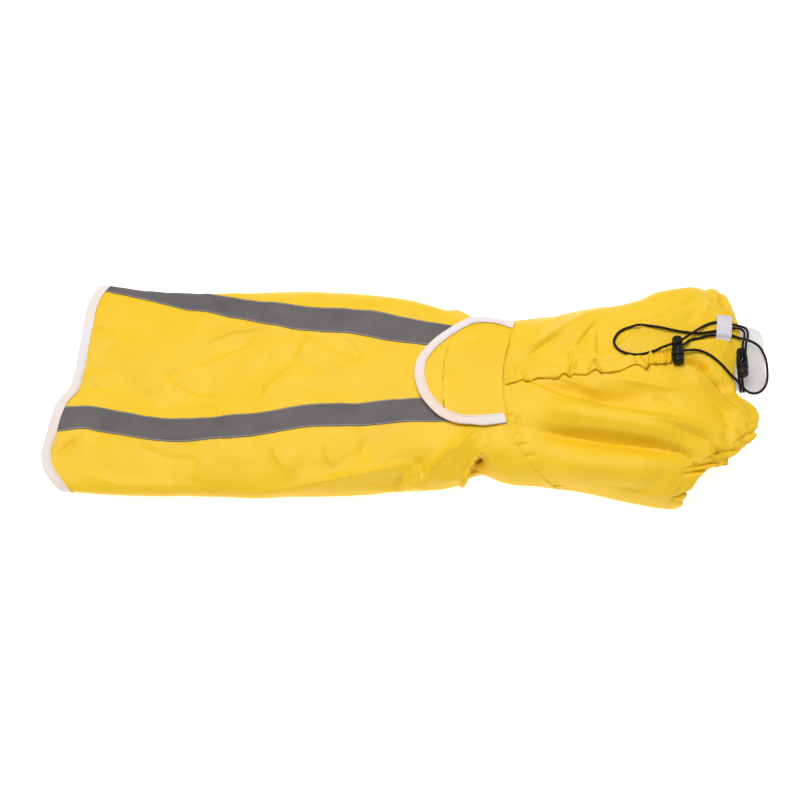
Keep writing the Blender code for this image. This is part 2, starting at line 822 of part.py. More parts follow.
def crown_casing(finish):
    """The gathered casing along the crown, a strip on the hood whose outer face is puckered."""
    start = CASING["x"][0]
    x = np.linspace(start, CASING["x"][-1], CASING_ROWS)[:, None]
    across = np.array([0.0, 0.16, 0.5, 0.84, 1.0])
    upper, lower = (smooth(x, CASING["x"], CASING[edge]) for edge in ("upper", "lower"))
    gathers = sum(
        height * np.exp(-(((x - at) / width) ** 2))
        for at, height, width in zip(*(PUCKERS[column] for column in ("x", "height", "width")))
    )
    around = lower + across * (upper - lower) - 0.5 * gathers * (1 - across)
    u = round_at(x, around)
    x = x + 0 * u
    swell = np.array([0.0, 0.7, 1.0, 0.8, 0.0])
    lift = CASING_LIFT + CLOTH * np.array([0.5, 1, 1, 1, 0.5]) + gathers * swell
    return slab("crown_casing", layer(x, u, lift), layer(x, u, CASING_LIFT + 0 * lift), finish)


def visor(finish):
    u = np.linspace(*VISOR_ROUND, 13)
    around = u * side_length(VISOR_X[1], u)
    short = 0.0
    for radius, away in zip(VISOR_CORNERS, (around - around[0], around[-1] - around)):
        short = short + radius - np.sqrt(radius**2 - np.clip(radius - away, 0, None) ** 2)
    x = rows_of(VISOR_X[0] + 0 * u, VISOR_X[1] - short, u, np.linspace(0, 1, 5))
    droop = VISOR_DROOP * np.clip((x - VISOR_X[0]) / (VISOR_X[1] - VISOR_X[0]), 0, 1) ** 2
    lift = -CLOTH - FACE_DRAW - VISOR_GATHERS - GAP - VISOR - droop
    return wall("visor", x, u, finish, lift, VISOR)


def keeper_tab(finish):
    """A loop of ribbon across the cords, sewn down at both ends."""
    around = TAB_ARCH["around"]
    x = np.array(TAB_X)[:, None] + TAB_SLANT * (around - around[0])
    u = round_at(x, around)
    return wall("keeper_tab", x, u, finish, TAB_ARCH["lift"], TAB)


def placed(made, lock, length, quarter_turns):
    """Lays a piece made along local z on the coat, with z = 0 at the lock's closed end."""
    x, around, lift = lock
    ends = np.array([around, around - length])
    middle = layer(np.array([x]), round_at(x, ends.mean())[None], np.array([lift]))[0]
    along = np.subtract(*coat(np.full(2, x), round_at(x, ends)))
    along /= np.linalg.norm(along)
    out = normals(np.array([x]), round_at(x, ends.mean())[None])[0]
    out -= along * (out @ along)
    out /= np.linalg.norm(out)
    origin = middle + along * length / 2
    axes = Matrix(np.stack([out, np.cross(along, out), along], axis=-1).tolist())
    turn = Matrix.Rotation(quarter_turns * math.pi / 2, 3, "Z")
    made.matrix_world = Matrix.LocRotScale(
        Vector(origin * MM), (axes @ turn).to_quaternion(), None
    )


def turned(name, profile_points, finish, sides=16):
    """A piece turned round local z from (radius, z) points, down its outer side."""
    shape = bmesh.new()
    rings = []
    for radius, z in profile_points:
        if radius == 0:
            rings.append([shape.verts.new((0, 0, z * MM))])
            continue
        angles = (2 * math.pi * side / sides for side in range(sides))
        rings.append(
            [
                shape.verts.new((radius * MM * math.cos(a), radius * MM * math.sin(a), z * MM))
                for a in angles
            ]
        )
    for upper, lower in zip(rings, rings[1:]):
        for side in range(sides):
            following = side + 1
            corners = (
                upper[side % len(upper)],
                lower[side % len(lower)],
                lower[following % len(lower)],
                upper[following % len(upper)],
            )
            shape.faces.new(list(dict.fromkeys(corners)))
    mesh = bpy.data.meshes.new(name)
    shape.to_mesh(mesh)
    shape.free()
    return add(name, mesh, finish)


def cord_lock(name, lock, quarter_turns, finish):
    """A barrel cord lock, closed on its cord: the barrel, with its slot, and the button in its mouth.

    The slot runs up through the barrel or, a quarter turn on, along the coat.
    """
    length = BARREL_LENGTH + BUTTON_LENGTH
    mouth = BUTTON + GAP
    depth = BARREL_LENGTH - BUTTON_DEPTH - GAP
    barrel = turned(
        f"{name}_barrel",
        (
            (0, 0),
            (BARREL - 1.5, 0),
            (BARREL, -1.5),
            (BARREL, -BARREL_LENGTH + 0.8),
            (BARREL - 0.5, -BARREL_LENGTH),
            (mouth, -BARREL_LENGTH),
            (mouth, -depth),
            (0, -depth),
        ),
        finish,
    )
    button = turned(
        f"{name}_button",
        (
            (0, -BARREL_LENGTH + BUTTON_DEPTH),
            (BUTTON, -BARREL_LENGTH + BUTTON_DEPTH),
            (BUTTON, -length + 1.5),
            (BUTTON - 1.5, -length),
            (0, -length),
        ),
        finish,
    )
    slot = slot_cutter(f"{name}_slot")
    for made in (barrel, button, slot):
        placed(made, lock, length, quarter_turns)
    cut = barrel.modifiers.new("slot", "BOOLEAN")
    cut.operation = "DIFFERENCE"
    cut.object = slot


def slot_cutter(name):
    """A bar with rounded ends, through the barrel along local x."""
    shape = bmesh.new()
    radius = SLOT_WIDTH / 2
    reach = SLOT_LENGTH / 2 - radius
    outline_points = []
    for step in range(16):
        angle = 2 * math.pi * (step + 0.5) / 16
        end = reach if math.cos(angle) > 0 else -reach
        across, along = radius * math.sin(angle), radius * math.cos(angle)
        outline_points.append((across, along + end - SLOT_FROM_END))
    rings = [
        [shape.verts.new((x * MM, y * MM, z * MM)) for y, z in outline_points] for x in (-12, 12)
    ]
    shape.faces.new(rings[0])
    shape.faces.new(rings[1][::-1])
    for step in range(16):
        following = (step + 1) % 16
        shape.faces.new((rings[0][following], rings[0][step], rings[1][step], rings[1][following]))
    bmesh.ops.recalc_face_normals(shape, faces=shape.faces)
    mesh = bpy.data.meshes.new(name)
    shape.to_mesh(mesh)
    shape.free()
    made = bpy.data.objects.new(name, mesh)
    bpy.context.scene.collection.objects.link(made)
    made.hide_render = True
    made.display_type = "WIRE"
    return made


def cord_line(route, count):
    """Points along a smooth curve through a route, closer together where it bends, and its length."""
    knots = np.stack([route["x"], route["around"], route["lift"]], axis=-1)
    knots = np.concatenate([2 * knots[:1] - knots[1:2], knots, 2 * knots[-1:] - knots[-2:-1]])
    t = np.linspace(0, 1, 12, endpoint=False)[:, None]
    pieces = [
        before * (-t + 2 * t**2 - t**3) / 2
        + start * (2 - 5 * t**2 + 3 * t**3) / 2
        + end * (t + 4 * t**2 - 3 * t**3) / 2
        + after * (t**3 - t**2) / 2
        for before, start, end, after in zip(knots, knots[1:], knots[2:], knots[3:])
    ]
    x, around, lift = np.concatenate([*pieces, knots[-2:-1]]).T
    points = layer(x, round_at(x, around), lift)
    steps = np.diff(points, axis=0)
    size = np.linalg.norm(steps, axis=-1)
    turn = np.linalg.norm(np.diff(steps / size[:, None], axis=0), axis=-1)
    turn = np.convolve(np.pad(turn, 6, mode="edge"), np.ones(12) / 12, mode="same")[6:-5]
    effort = np.concatenate([[0], np.cumsum(size + CORD_BENDS * turn)])
    at = np.linspace(0, effort[-1], count)
    return np.stack([np.interp(at, effort, column) for column in points.T], axis=-1), size.sum()


def cord(name, route, count, finish):
    points, _ = cord_line(route, count)
    curve = bpy.data.curves.new(name, "CURVE")
    curve.dimensions = "3D"
    curve.bevel_depth = CORD / 2 * MM
    curve.bevel_resolution = 2
    curve.use_fill_caps = True
    spline = curve.splines.new("POLY")
    spline.points.add(len(points) - 1)
    for knot, point in zip(spline.points, points * MM):
        knot.co = (*point, 1)
    curve.materials.append(finish)
    made = bpy.data.objects.new(name, curve)
    bpy.context.scene.collection.objects.link(made)


def main():
    for old in list(bpy.data.objects):
        bpy.data.objects.remove(old, do_unlink=True)

    cloth = material("yellow_cloth", (0.95, 0.58, 0.03), 0.45)
    tape_grey = material("reflective_tape", (0.17, 0.15, 0.15), 0.4)
    white = material("white_binding", (0.82, 0.72, 0.68), 0.7)
    ribbon = material("white_ribbon", (0.8, 0.8, 0.85), 0.5)
    clear = material("clear_visor", (0.75, 0.75, 0.75), 0.15, 0.5)
    black = material("black_cord", (0.02, 0.02, 0.02), 0.6)
    plastic = material("black_plastic", (0.02, 0.02, 0.02), 0.35)

    back_panel(cloth)
    belly_panel(cloth)
    tape("tape_right", BACK_SPANS[0], tape_grey)
    tape("tape_left", sum(BACK_SPANS[:4]), tape_grey)
    tail_binding(white)
    leash_flap(cloth)
    flap_binding(white)

    hood(cloth)
    throat_panel(cloth)
    crown_casing(cloth)
    face_hem(cloth)
    visor(clear)
    keeper_tab(ribbon)

    cord_lock("crown_lock", CROWN_LOCK, 1, plastic)
    cord_lock("brim_lock", BRIM_LOCK, 0, plastic)
    cord("brim_cord", BRIM_ROUTE, CORD_POINTS, black)
    cord("casing_cord", CASING_ROUTE, CORD_POINTS // 2, black)


if __name__ == "__main__":
    main()
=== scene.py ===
"""Scene of the dog raincoat: thin coated cloth, trims, stitching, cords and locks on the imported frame.

Tables are in millimetres, as in the part's source: x runs from the tail hem to the face opening and
distances round the coat run from the crown, to the wearer's left if positive.
"""

import math
from collections import namedtuple

import bmesh
import bpy
import numpy as np
from mathutils import Matrix, Vector


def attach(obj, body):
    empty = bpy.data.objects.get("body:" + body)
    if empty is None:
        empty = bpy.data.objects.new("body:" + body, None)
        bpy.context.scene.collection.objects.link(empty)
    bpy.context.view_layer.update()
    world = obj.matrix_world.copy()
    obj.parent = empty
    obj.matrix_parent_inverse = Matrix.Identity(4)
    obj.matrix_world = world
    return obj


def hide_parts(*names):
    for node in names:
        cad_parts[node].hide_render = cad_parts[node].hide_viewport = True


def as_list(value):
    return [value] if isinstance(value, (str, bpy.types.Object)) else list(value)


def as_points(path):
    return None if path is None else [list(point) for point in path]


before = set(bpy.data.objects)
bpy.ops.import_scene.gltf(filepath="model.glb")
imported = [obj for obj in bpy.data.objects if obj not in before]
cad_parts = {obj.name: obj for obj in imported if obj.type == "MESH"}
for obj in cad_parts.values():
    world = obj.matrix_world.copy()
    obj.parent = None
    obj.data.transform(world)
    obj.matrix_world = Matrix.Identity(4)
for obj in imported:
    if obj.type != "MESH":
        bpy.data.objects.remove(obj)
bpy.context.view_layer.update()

MM = 0.001

# Cloth and trims
CLOTH = 1.5  # wall of one layer of coated cloth
TRIM = 0.8  # wall of tape and binding
GAP = 0.3  # air between pieces that are sewn together
FOLD_GAP = 0.5  # air inside a binding, where it bends over the panel's edge
BINDING = 10.0  # width of the binding round the tail and the leash flap
HEM_STITCH = 8.6  # the stitches press it down this far from its edge
FLAP_TRIM_LIFT = 0.75 + 0.6  # middle of the flap's binding over the flap's underside
TAPE_WIDTH = 26.0
TAPE_END = 0.93  # share of the back's length that the tapes run, to under the flap
TAPE_LIMIT = 0.95  # the left tape is trimmed here, where it runs out under the side at the tail
FACE_HEM = 13.0  # width of the elastic hem round the face
HEM_RISE = FOLD_GAP + TRIM  # the tail end lies on its binding, this far above the table
HEM_FADE = (44.0, 14.0)  # it rises between these distances from the tail edge

# Section of the coat: a flattened dome whose sides turn under
ROLL = 8.0  # radius where a side turns under
DOME_POWER = 2.8  # 2 is an ellipse, more is flatter on top
CROWN_Y = 5.0
MIDDLE_X = 361.75  # distance from the tail end to the origin

# Lengths of cloth, for the spacing of the points on it
ROUND = 292  # from side to side over the crown
BODY = 440
HOOD = 219
THROAT = 130
UNDER = 215  # across the underside
UNDER_HALF = 110.0
SIDE_ARC = 140.0

LEG_X = 415.0
LEGS = (("right", -52.0), ("left", 38.0))  # their y
LEG_SIZE = (60.0, 50.0)


def table(columns, rows):
    """The named columns of a table, as arrays. Commas part its rows."""
    values = [[float(value) for value in row.split()] for row in rows.split(",")]
    return dict(zip(columns.split(), np.array(values).T))


Crease = namedtuple("Crease", "left right height path")


def creases(*groups):
    """Each crease, up to a semicolon: how far it slopes to the left and to the right of its path's
    direction, its height, which is negative for a trough, and the points of its path."""
    made = []
    for crease in ";".join(groups).split(";"):
        sizes, *points = ([float(value) for value in part.split()] for part in crease.split(","))
        made.append(Crease(*sizes, np.array(points)))
    return made


# Outline and height of the coat at stations along it
OUTLINE = table("x right left crown", """
    22 -107.6 128 22, 60 -111 126 24, 100 -112.4 122 27, 160 -112.4 117 31, 260 -112.4 114 36,
    340 -110 105.5 39, 380 -106 93.5 41, 400 -104 89 42, 420 -99 87.5 43, 440 -92.3 81 44,
    460 -97 78 45, 500 -101.5 82.5 50, 540 -108 89 56, 580 -118.5 95 61, 620 -126 106 62,
    640 -126 110.8 60, 680 -123.5 113 55, 720 -117 112 47
""")

# Seams that go round the coat. round is 0 on the crown, -1 and 1 where the sides meet the underside
TAIL_EDGE = table("round x", """
    -1 31, -0.9 25, -0.83 18, -0.74 10.5, -0.61 6, -0.42 11, -0.27 15, -0.15 20, -0.03 30, 0.11 34.5,
    0.29 37.5, 0.47 40.5, 0.64 43.5, 0.79 49.5, 0.89 55.5, 1 62
""")
NECK_SEAM = table("round x", """
    -1 524, -0.89 511.5, -0.81 501, -0.64 480, -0.52 470, -0.42 465, -0.25 461, -0.08 460.5, 0.1 462,
    0.34 468, 0.61 475.5, 1 484
""")
FACE_EDGE = table("round x", """
    -1 630, -0.84 635.3, -0.76 642, -0.68 652, -0.61 673.5, -0.54 692, -0.47 705, -0.38 710, -0.3 711,
    -0.255 708.5, -0.22 702, -0.18 692.3, -0.1 689, -0.02 689.3, 0.09 692.5, 0.15 697, 0.37 697,
    0.57 692, 0.7 688.5, 0.82 687, 0.9 685, 1 678
""")

# Middle lines of the reflective tapes. around is the distance from the crown, to the left if positive
TAPE_LEFT = table("x around", """
    50 128, 66 123, 109 111.5, 160 96, 201 83.5, 234 74.5, 265 67.5, 303 64, 330 60, 358 54, 390 48.5,
    470 38
""")
TAPE_RIGHT = table("x around", """
    20 -41, 58 -39.5, 80 -45.5, 105 -52, 141 -56, 180 -55.5, 229 -51, 267 -45, 316 -43, 358 -39,
    403 -39.5, 470 -37
""")

# Leash flap, sewn into the neck seam and lying towards the tail
FLAP_MIDDLE = 2.5  # distance round from the crown
FLAP_HALF = 60.0
FLAP_RISES = 30.0  # it has come up to its full height this far from the seam
FLAP_LENGTH = 87.0
FLAP_INSET = 2.2  # how far inside its binding's edge its cloth ends
FLAP_LIFT = 2.9  # its underside clears the coat, the tapes and its own binding
FLAP_SEWN = 1.7  # the same, at the neck seam

# Gathers of the elastic face hem: how deep its edge is drawn in
FACE_GATHERS = table("round depth", """
    -1 1.6, -0.75 3, -0.45 3, -0.28 1, -0.15 0.3, 0.33 0.3, 0.55 0.6, 0.92 0.6, 1 1.6
""")
FACE_DRAW = 2.0  # how far the elastic draws the edge in

# Clear visor under the face hem, and the ribbon that keeps the cords on the hood
VISOR_ROUND = (-0.14, 0.4)
VISOR_X = (683.0, 721.0)
VISOR_CORNERS = (15.0, 6.0)  # radius of its lower and of its upper corner
VISOR_DROOP = 4.0
VISOR_GATHERS = 0.3  # depth of the hem's gathers above it
TAB = 1.0
TAB_X = (671.0, 686.0)
TAB_SLANT = 0.1  # it leans this much towards the face for each millimetre round
TAB_ARCH = table("around lift", """
    30.5 0.3, 32.5 0.3, 34.8 3.7, 40 4.1, 51 4.1, 56.2 3.7, 58.5 0.3, 62.3 0.3
""")

# Cord locks: a barrel with a slot for the cord, and the button that would free it
BARREL = 6.0
BARREL_LENGTH = 22.0
SLOT_FROM_END = 12.0
SLOT_LENGTH = 12.0
SLOT_WIDTH = 7.0
BUTTON = 4.9
BUTTON_LENGTH = 8.5
BUTTON_DEPTH = 2.6  # how far it reaches into the barrel
CROWN_LOCK = (631.5, 27.7, 6.5)  # x, distance round and height of the barrel's closed end
BRIM_LOCK = (693.5, 16.7, 9.9)

# Elastic cords, as x, distance round from the crown and height above the coat of their middle lines
CORD = 2.6
BRIM_ROUTE = table("x around lift", """
    694.3 -26 -2.2, 693.9 -20 -2.2, 693.2 -12 -1.6, 692.4 -4 0.7, 692 0.7 2.97, 692 3.6 5.9,
    692 4.7 9.9, 692 5.8 13.9, 692 8.7 16.8, 692.2 13 17.9, 693.3 20 17, 696.7 30 12.3, 698 40 7.2,
    694 45 3.6, 686 44.8 1.9, 678 43 1.9, 670.5 40.2 1.9, 655.5 36.6 1.9, 642 36.4 1.9, 625.5 37.8 1.9,
    609 40.6 1.9, 596 42.6 1.9, 586 42.2 1.9, 577.5 38.2 1.9, 572.5 32.2 1.9, 570.5 26.2 1.9,
    571.5 20.3 1.9, 575 15.2 1.9, 581 11.4 1.9, 590 9.2 1.9, 598 9.4 2.6, 605 10.6 4.4, 611 11.8 7,
    616.5 13.2 9.8, 621 14 12.2, 625 15 14.2, 631 17.6 15, 637.5 22.8 12.9, 645 31 8.4, 655 40.8 4.2,
    663.5 47.4 2.4, 672 51.2 1.9, 680 51.6 1.9, 688 50.6 1.9, 695 49.2 2.6, 700.5 45.8 4.6,
    701.6 39.4 8, 699.8 30 12.8, 696.4 20 17.1, 695.2 13 17.9, 695 8.7 16.8, 695 5.8 13.9, 695 4.7 9.9,
    695 3.6 5.9, 695 0.7 2.97, 695.4 -4 0.7, 696.2 -12 -1.6, 696.9 -20 -2.2, 697.3 -25.5 -2.2
""")
CASING_ROUTE = table("x around lift", """
    625.3 18.7 6.5, 631.5 18.7 6.5, 637 19.4 6.3, 641 22.6 4.8, 645 26.6 3.1, 650 29.8 2.1,
    656 31.8 1.9, 663 34 1.9, 671 35.8 1.9, 679.5 37 1.9, 687 36.8 1.9, 694 35 2, 703.5 33.8 1.5,
    712 31.4 0, 718 26.1 -1.5, 721.5 15.1 -2.5, 722 -0.9 -2.5, 720 -13.2 -1, 715 -21.9 0.6, 708 -27 2,
    700.5 -27 2.6, 694.5 -21.8 2.6, 689.5 -15 2.3, 683 -8.1 2.2, 675 1.8 1.9, 665 10.6 1.9,
    657 14.4 2.2, 649.5 15.2 3.6, 643 14 5.4, 637 12.8 6.4, 631.5 12.7 6.5, 625.3 12.7 6.5
""")

FOLD_FADE = 0.3  # share of a fold's length over which each end fades
SEAM_PINCH, SEAM_REACH = 0.5, 8.0  # the neck seam holds the folds down by this share, this far
SIDE_FADE = 0.12  # share of the way round over which folds fade to the flat underside

# Ridges and, where the height is negative, troughs. A path's points are x and the distance around
# from the crown, to the wearer's left if positive
FOLDS = creases(
    # Back: the shoulder of the left side, a sag between the tapes, and creases low on the right
    """28 28 8, 170 88, 300 92, 440 78;
    34 34 -3, 110 10, 230 12, 350 6;
    9 9 3.5, 242 -117, 300 -107, 358 -95;
    6 6 -3, 366 -96, 374 -115;
    8 8 5, 376 -116, 395 -98, 414 -81, 438 -58;
    8 8 -5, 429 -112, 435 -96, 441 -84""",
    # Right half of the hood: a trough under the casing, two rolls and the deep valley between them
    """10 10 -6, 492 -24, 535 -32, 575 -37, 609 -31;
    13 13 7, 484 -38, 526 -48, 565 -55, 596 -61, 622 -67, 660 -77;
    9 9 -8, 484 -66, 511 -70, 567 -80, 622 -91, 648 -97;
    16 16 5, 505 -98, 560 -108, 618 -120;
    7 7 4, 642 -6, 664 -23, 690 -42, 704 -58;
    9 9 -4, 670 -12, 675 -34, 679 -60""",
    # Left half of the hood: soft diagonals and the corner at the face
    """10 10 3, 480 20, 523 43, 574 80;
    12 12 -2, 556 60, 600 68, 640 70;
    14 14 5, 600 88, 640 100, 674 108;
    8 8 3, 668 111, 682 112;
    7 7 -4, 677 74, 677 94""",
)


def smooth(at, xs, ys):
    """A cubic through the points (xs, ys), level past its ends."""
    at = np.clip(at, xs[0], xs[-1])
    i = np.clip(np.searchsorted(xs, at, side="right") - 1, 0, len(xs) - 2)
    slope = np.gradient(ys, xs)
    step = xs[i + 1] - xs[i]
    t = (at - xs[i]) / step
    rise = ys[i + 1] - ys[i]
    bend = slope[i] * step - rise
    back = rise - slope[i + 1] * step
    return ys[i] + t * rise + t * (1 - t) * ((1 - t) * bend + t * back)


def outline(column, x):
    return smooth(x, OUTLINE["x"], OUTLINE[column])


def profile(width, height):
    """Arc length, y and z down one side of a section, from the crown to the underside."""
    width, height = np.asarray(width, float), np.asarray(height, float)
    fan = (slice(None),) + (None,) * width.ndim
    angle = np.linspace(0, math.pi / 2, 60)[fan]
    turn = np.linspace(0, math.pi / 2, 13)[1:][fan]
    power = 2 / DOME_POWER
    y = np.concatenate([width * np.sin(angle) ** power, width - ROLL * (1 - np.cos(turn))])
    dome = ROLL + (height - ROLL) * np.abs(np.cos(angle)) ** power
    z = np.concatenate([dome, ROLL * (1 - np.sin(turn)) + 0 * width])
    steps = np.hypot(np.diff(y, axis=0), np.diff(z, axis=0))
    arc = np.concatenate([np.zeros_like(y[:1]), np.cumsum(steps, axis=0)])
    return arc, y, z


def seam(where, u):
    """x of a seam or edge round the coat. Past 1 it crosses the underside, to 3, which is -1 again."""
    u = np.asarray(u, float)
    first, last = where["x"][0], where["x"][-1]
    under = last + (first - last) * (1 - np.cos((u - 1) / 2 * math.pi)) / 2
    return np.where(u <= 1, smooth(u, where["round"], where["x"]), under)


def section(x, u):
    """y, z and the outward direction of the plain section, u of the way round it."""
    x, u = np.broadcast_arrays(np.asarray(x, float), np.asarray(u, float))
    right, left, crown = (outline(column, x) for column in ("right", "left", "crown"))
    side = np.where(u < 0, -1.0, 1.0)
    arc, across, up = profile(np.where(u < 0, CROWN_Y - right, left - CROWN_Y), crown)
    goal = np.minimum(np.abs(u), 1.0) * arc[-1]
    step = np.clip((arc[1:-1] < goal).sum(axis=0), 0, len(arc) - 2)
    low, high = (np.take_along_axis(arc, (step + k)[None], 0)[0] for k in (0, 1))
    part = (goal - low) / (high - low)

    def between(values):
        ends = [np.take_along_axis(values, (step + k)[None], 0)[0] for k in (0, 1)]
        return ends[0] + part * (ends[1] - ends[0]), ends[1] - ends[0]

    y, dy = between(across)
    z, dz = between(up)
    size = np.hypot(dy, dz)
    top = u <= 1
    under = (left - ROLL) + (u - 1) / 2 * (right - left + 2 * ROLL)
    return (
        np.where(top, CROWN_Y + side * y, under),
        np.where(top, z, 0.0),
        np.where(top, -side * dz / size, 0.0),
        np.where(top, dy / size, -1.0),
    )


def side_length(x, u):
    """Length of cloth from the crown down to the underside, on the side of u."""
    x, u = np.broadcast_arrays(np.asarray(x, float), np.asarray(u, float))
    width = np.where(u < 0, CROWN_Y - outline("right", x), outline("left", x) - CROWN_Y)
    return profile(width, outline("crown", x))[0][-1]


def ease(share):
    """Smooth from 0 to 1, and level past them."""
    share = np.clip(share, 0, 1)
    return share * share * (3 - 2 * share)


def rising(value, start, end):
    """From 0 at the start to 1 at the end, which may lie below it."""
    return np.clip((value - start) / (end - start), 0, 1)


def bell(share):
    return np.exp(-(share**2))


def unit(vectors):
    return vectors / np.linalg.norm(vectors, axis=-1, keepdims=True)


def reach_of(points):
    """Distance along a line of points."""
    return np.concatenate([[0], np.cumsum(np.linalg.norm(np.diff(points, axis=0), axis=-1))])


def raised(x, around, kinds, power, fade, least, far):
    """Height of folds or creases at x and a distance around from the crown, to the left if positive."""
    height = np.zeros_like(x)
    for kind in kinds:
        path = kind.path
        beyond = far * max(kind.left, kind.right)
        low, high = path.min(axis=0) - beyond, path.max(axis=0) + beyond
        inside = (x > low[0]) & (x < high[0]) & (around > low[1]) & (around < high[1])
        if not inside.any():
            continue
        place = np.stack([x[inside], around[inside]], axis=-1)
        begun = reach_of(path)
        nearest = np.full(len(place), np.inf)
        along = np.zeros(len(place))
        left = np.zeros(len(place), bool)
        for start, run, before in zip(path, np.diff(path, axis=0), begun):
            away = place - start
            share = np.clip(away @ run / (run @ run), 0, 1)
            distance = np.linalg.norm(away - share[:, None] * run, axis=-1)
            closer = distance < nearest
            left = np.where(closer, run[0] * away[:, 1] - run[1] * away[:, 0] > 0, left)
            along = np.where(closer, before + share * np.linalg.norm(run), along)
            nearest = np.minimum(nearest, distance)
        ends = ease(np.minimum(along, begun[-1] - along) / (fade * begun[-1]))
        width = np.where(left, kind.left, kind.right)
        slope = np.exp(-((nearest / width) ** power))
        height[inside] += kind.height * (least + (1 - least) * ends) * slope
    return height


def relief(x, around):
    return raised(x, around, FOLDS, 2, FOLD_FADE, 0.1, math.inf)


def creased(x, around, kinds):
    return raised(x, around, kinds, CREASE_POWER, CREASE_FADE, 0.15, CREASE_FAR)


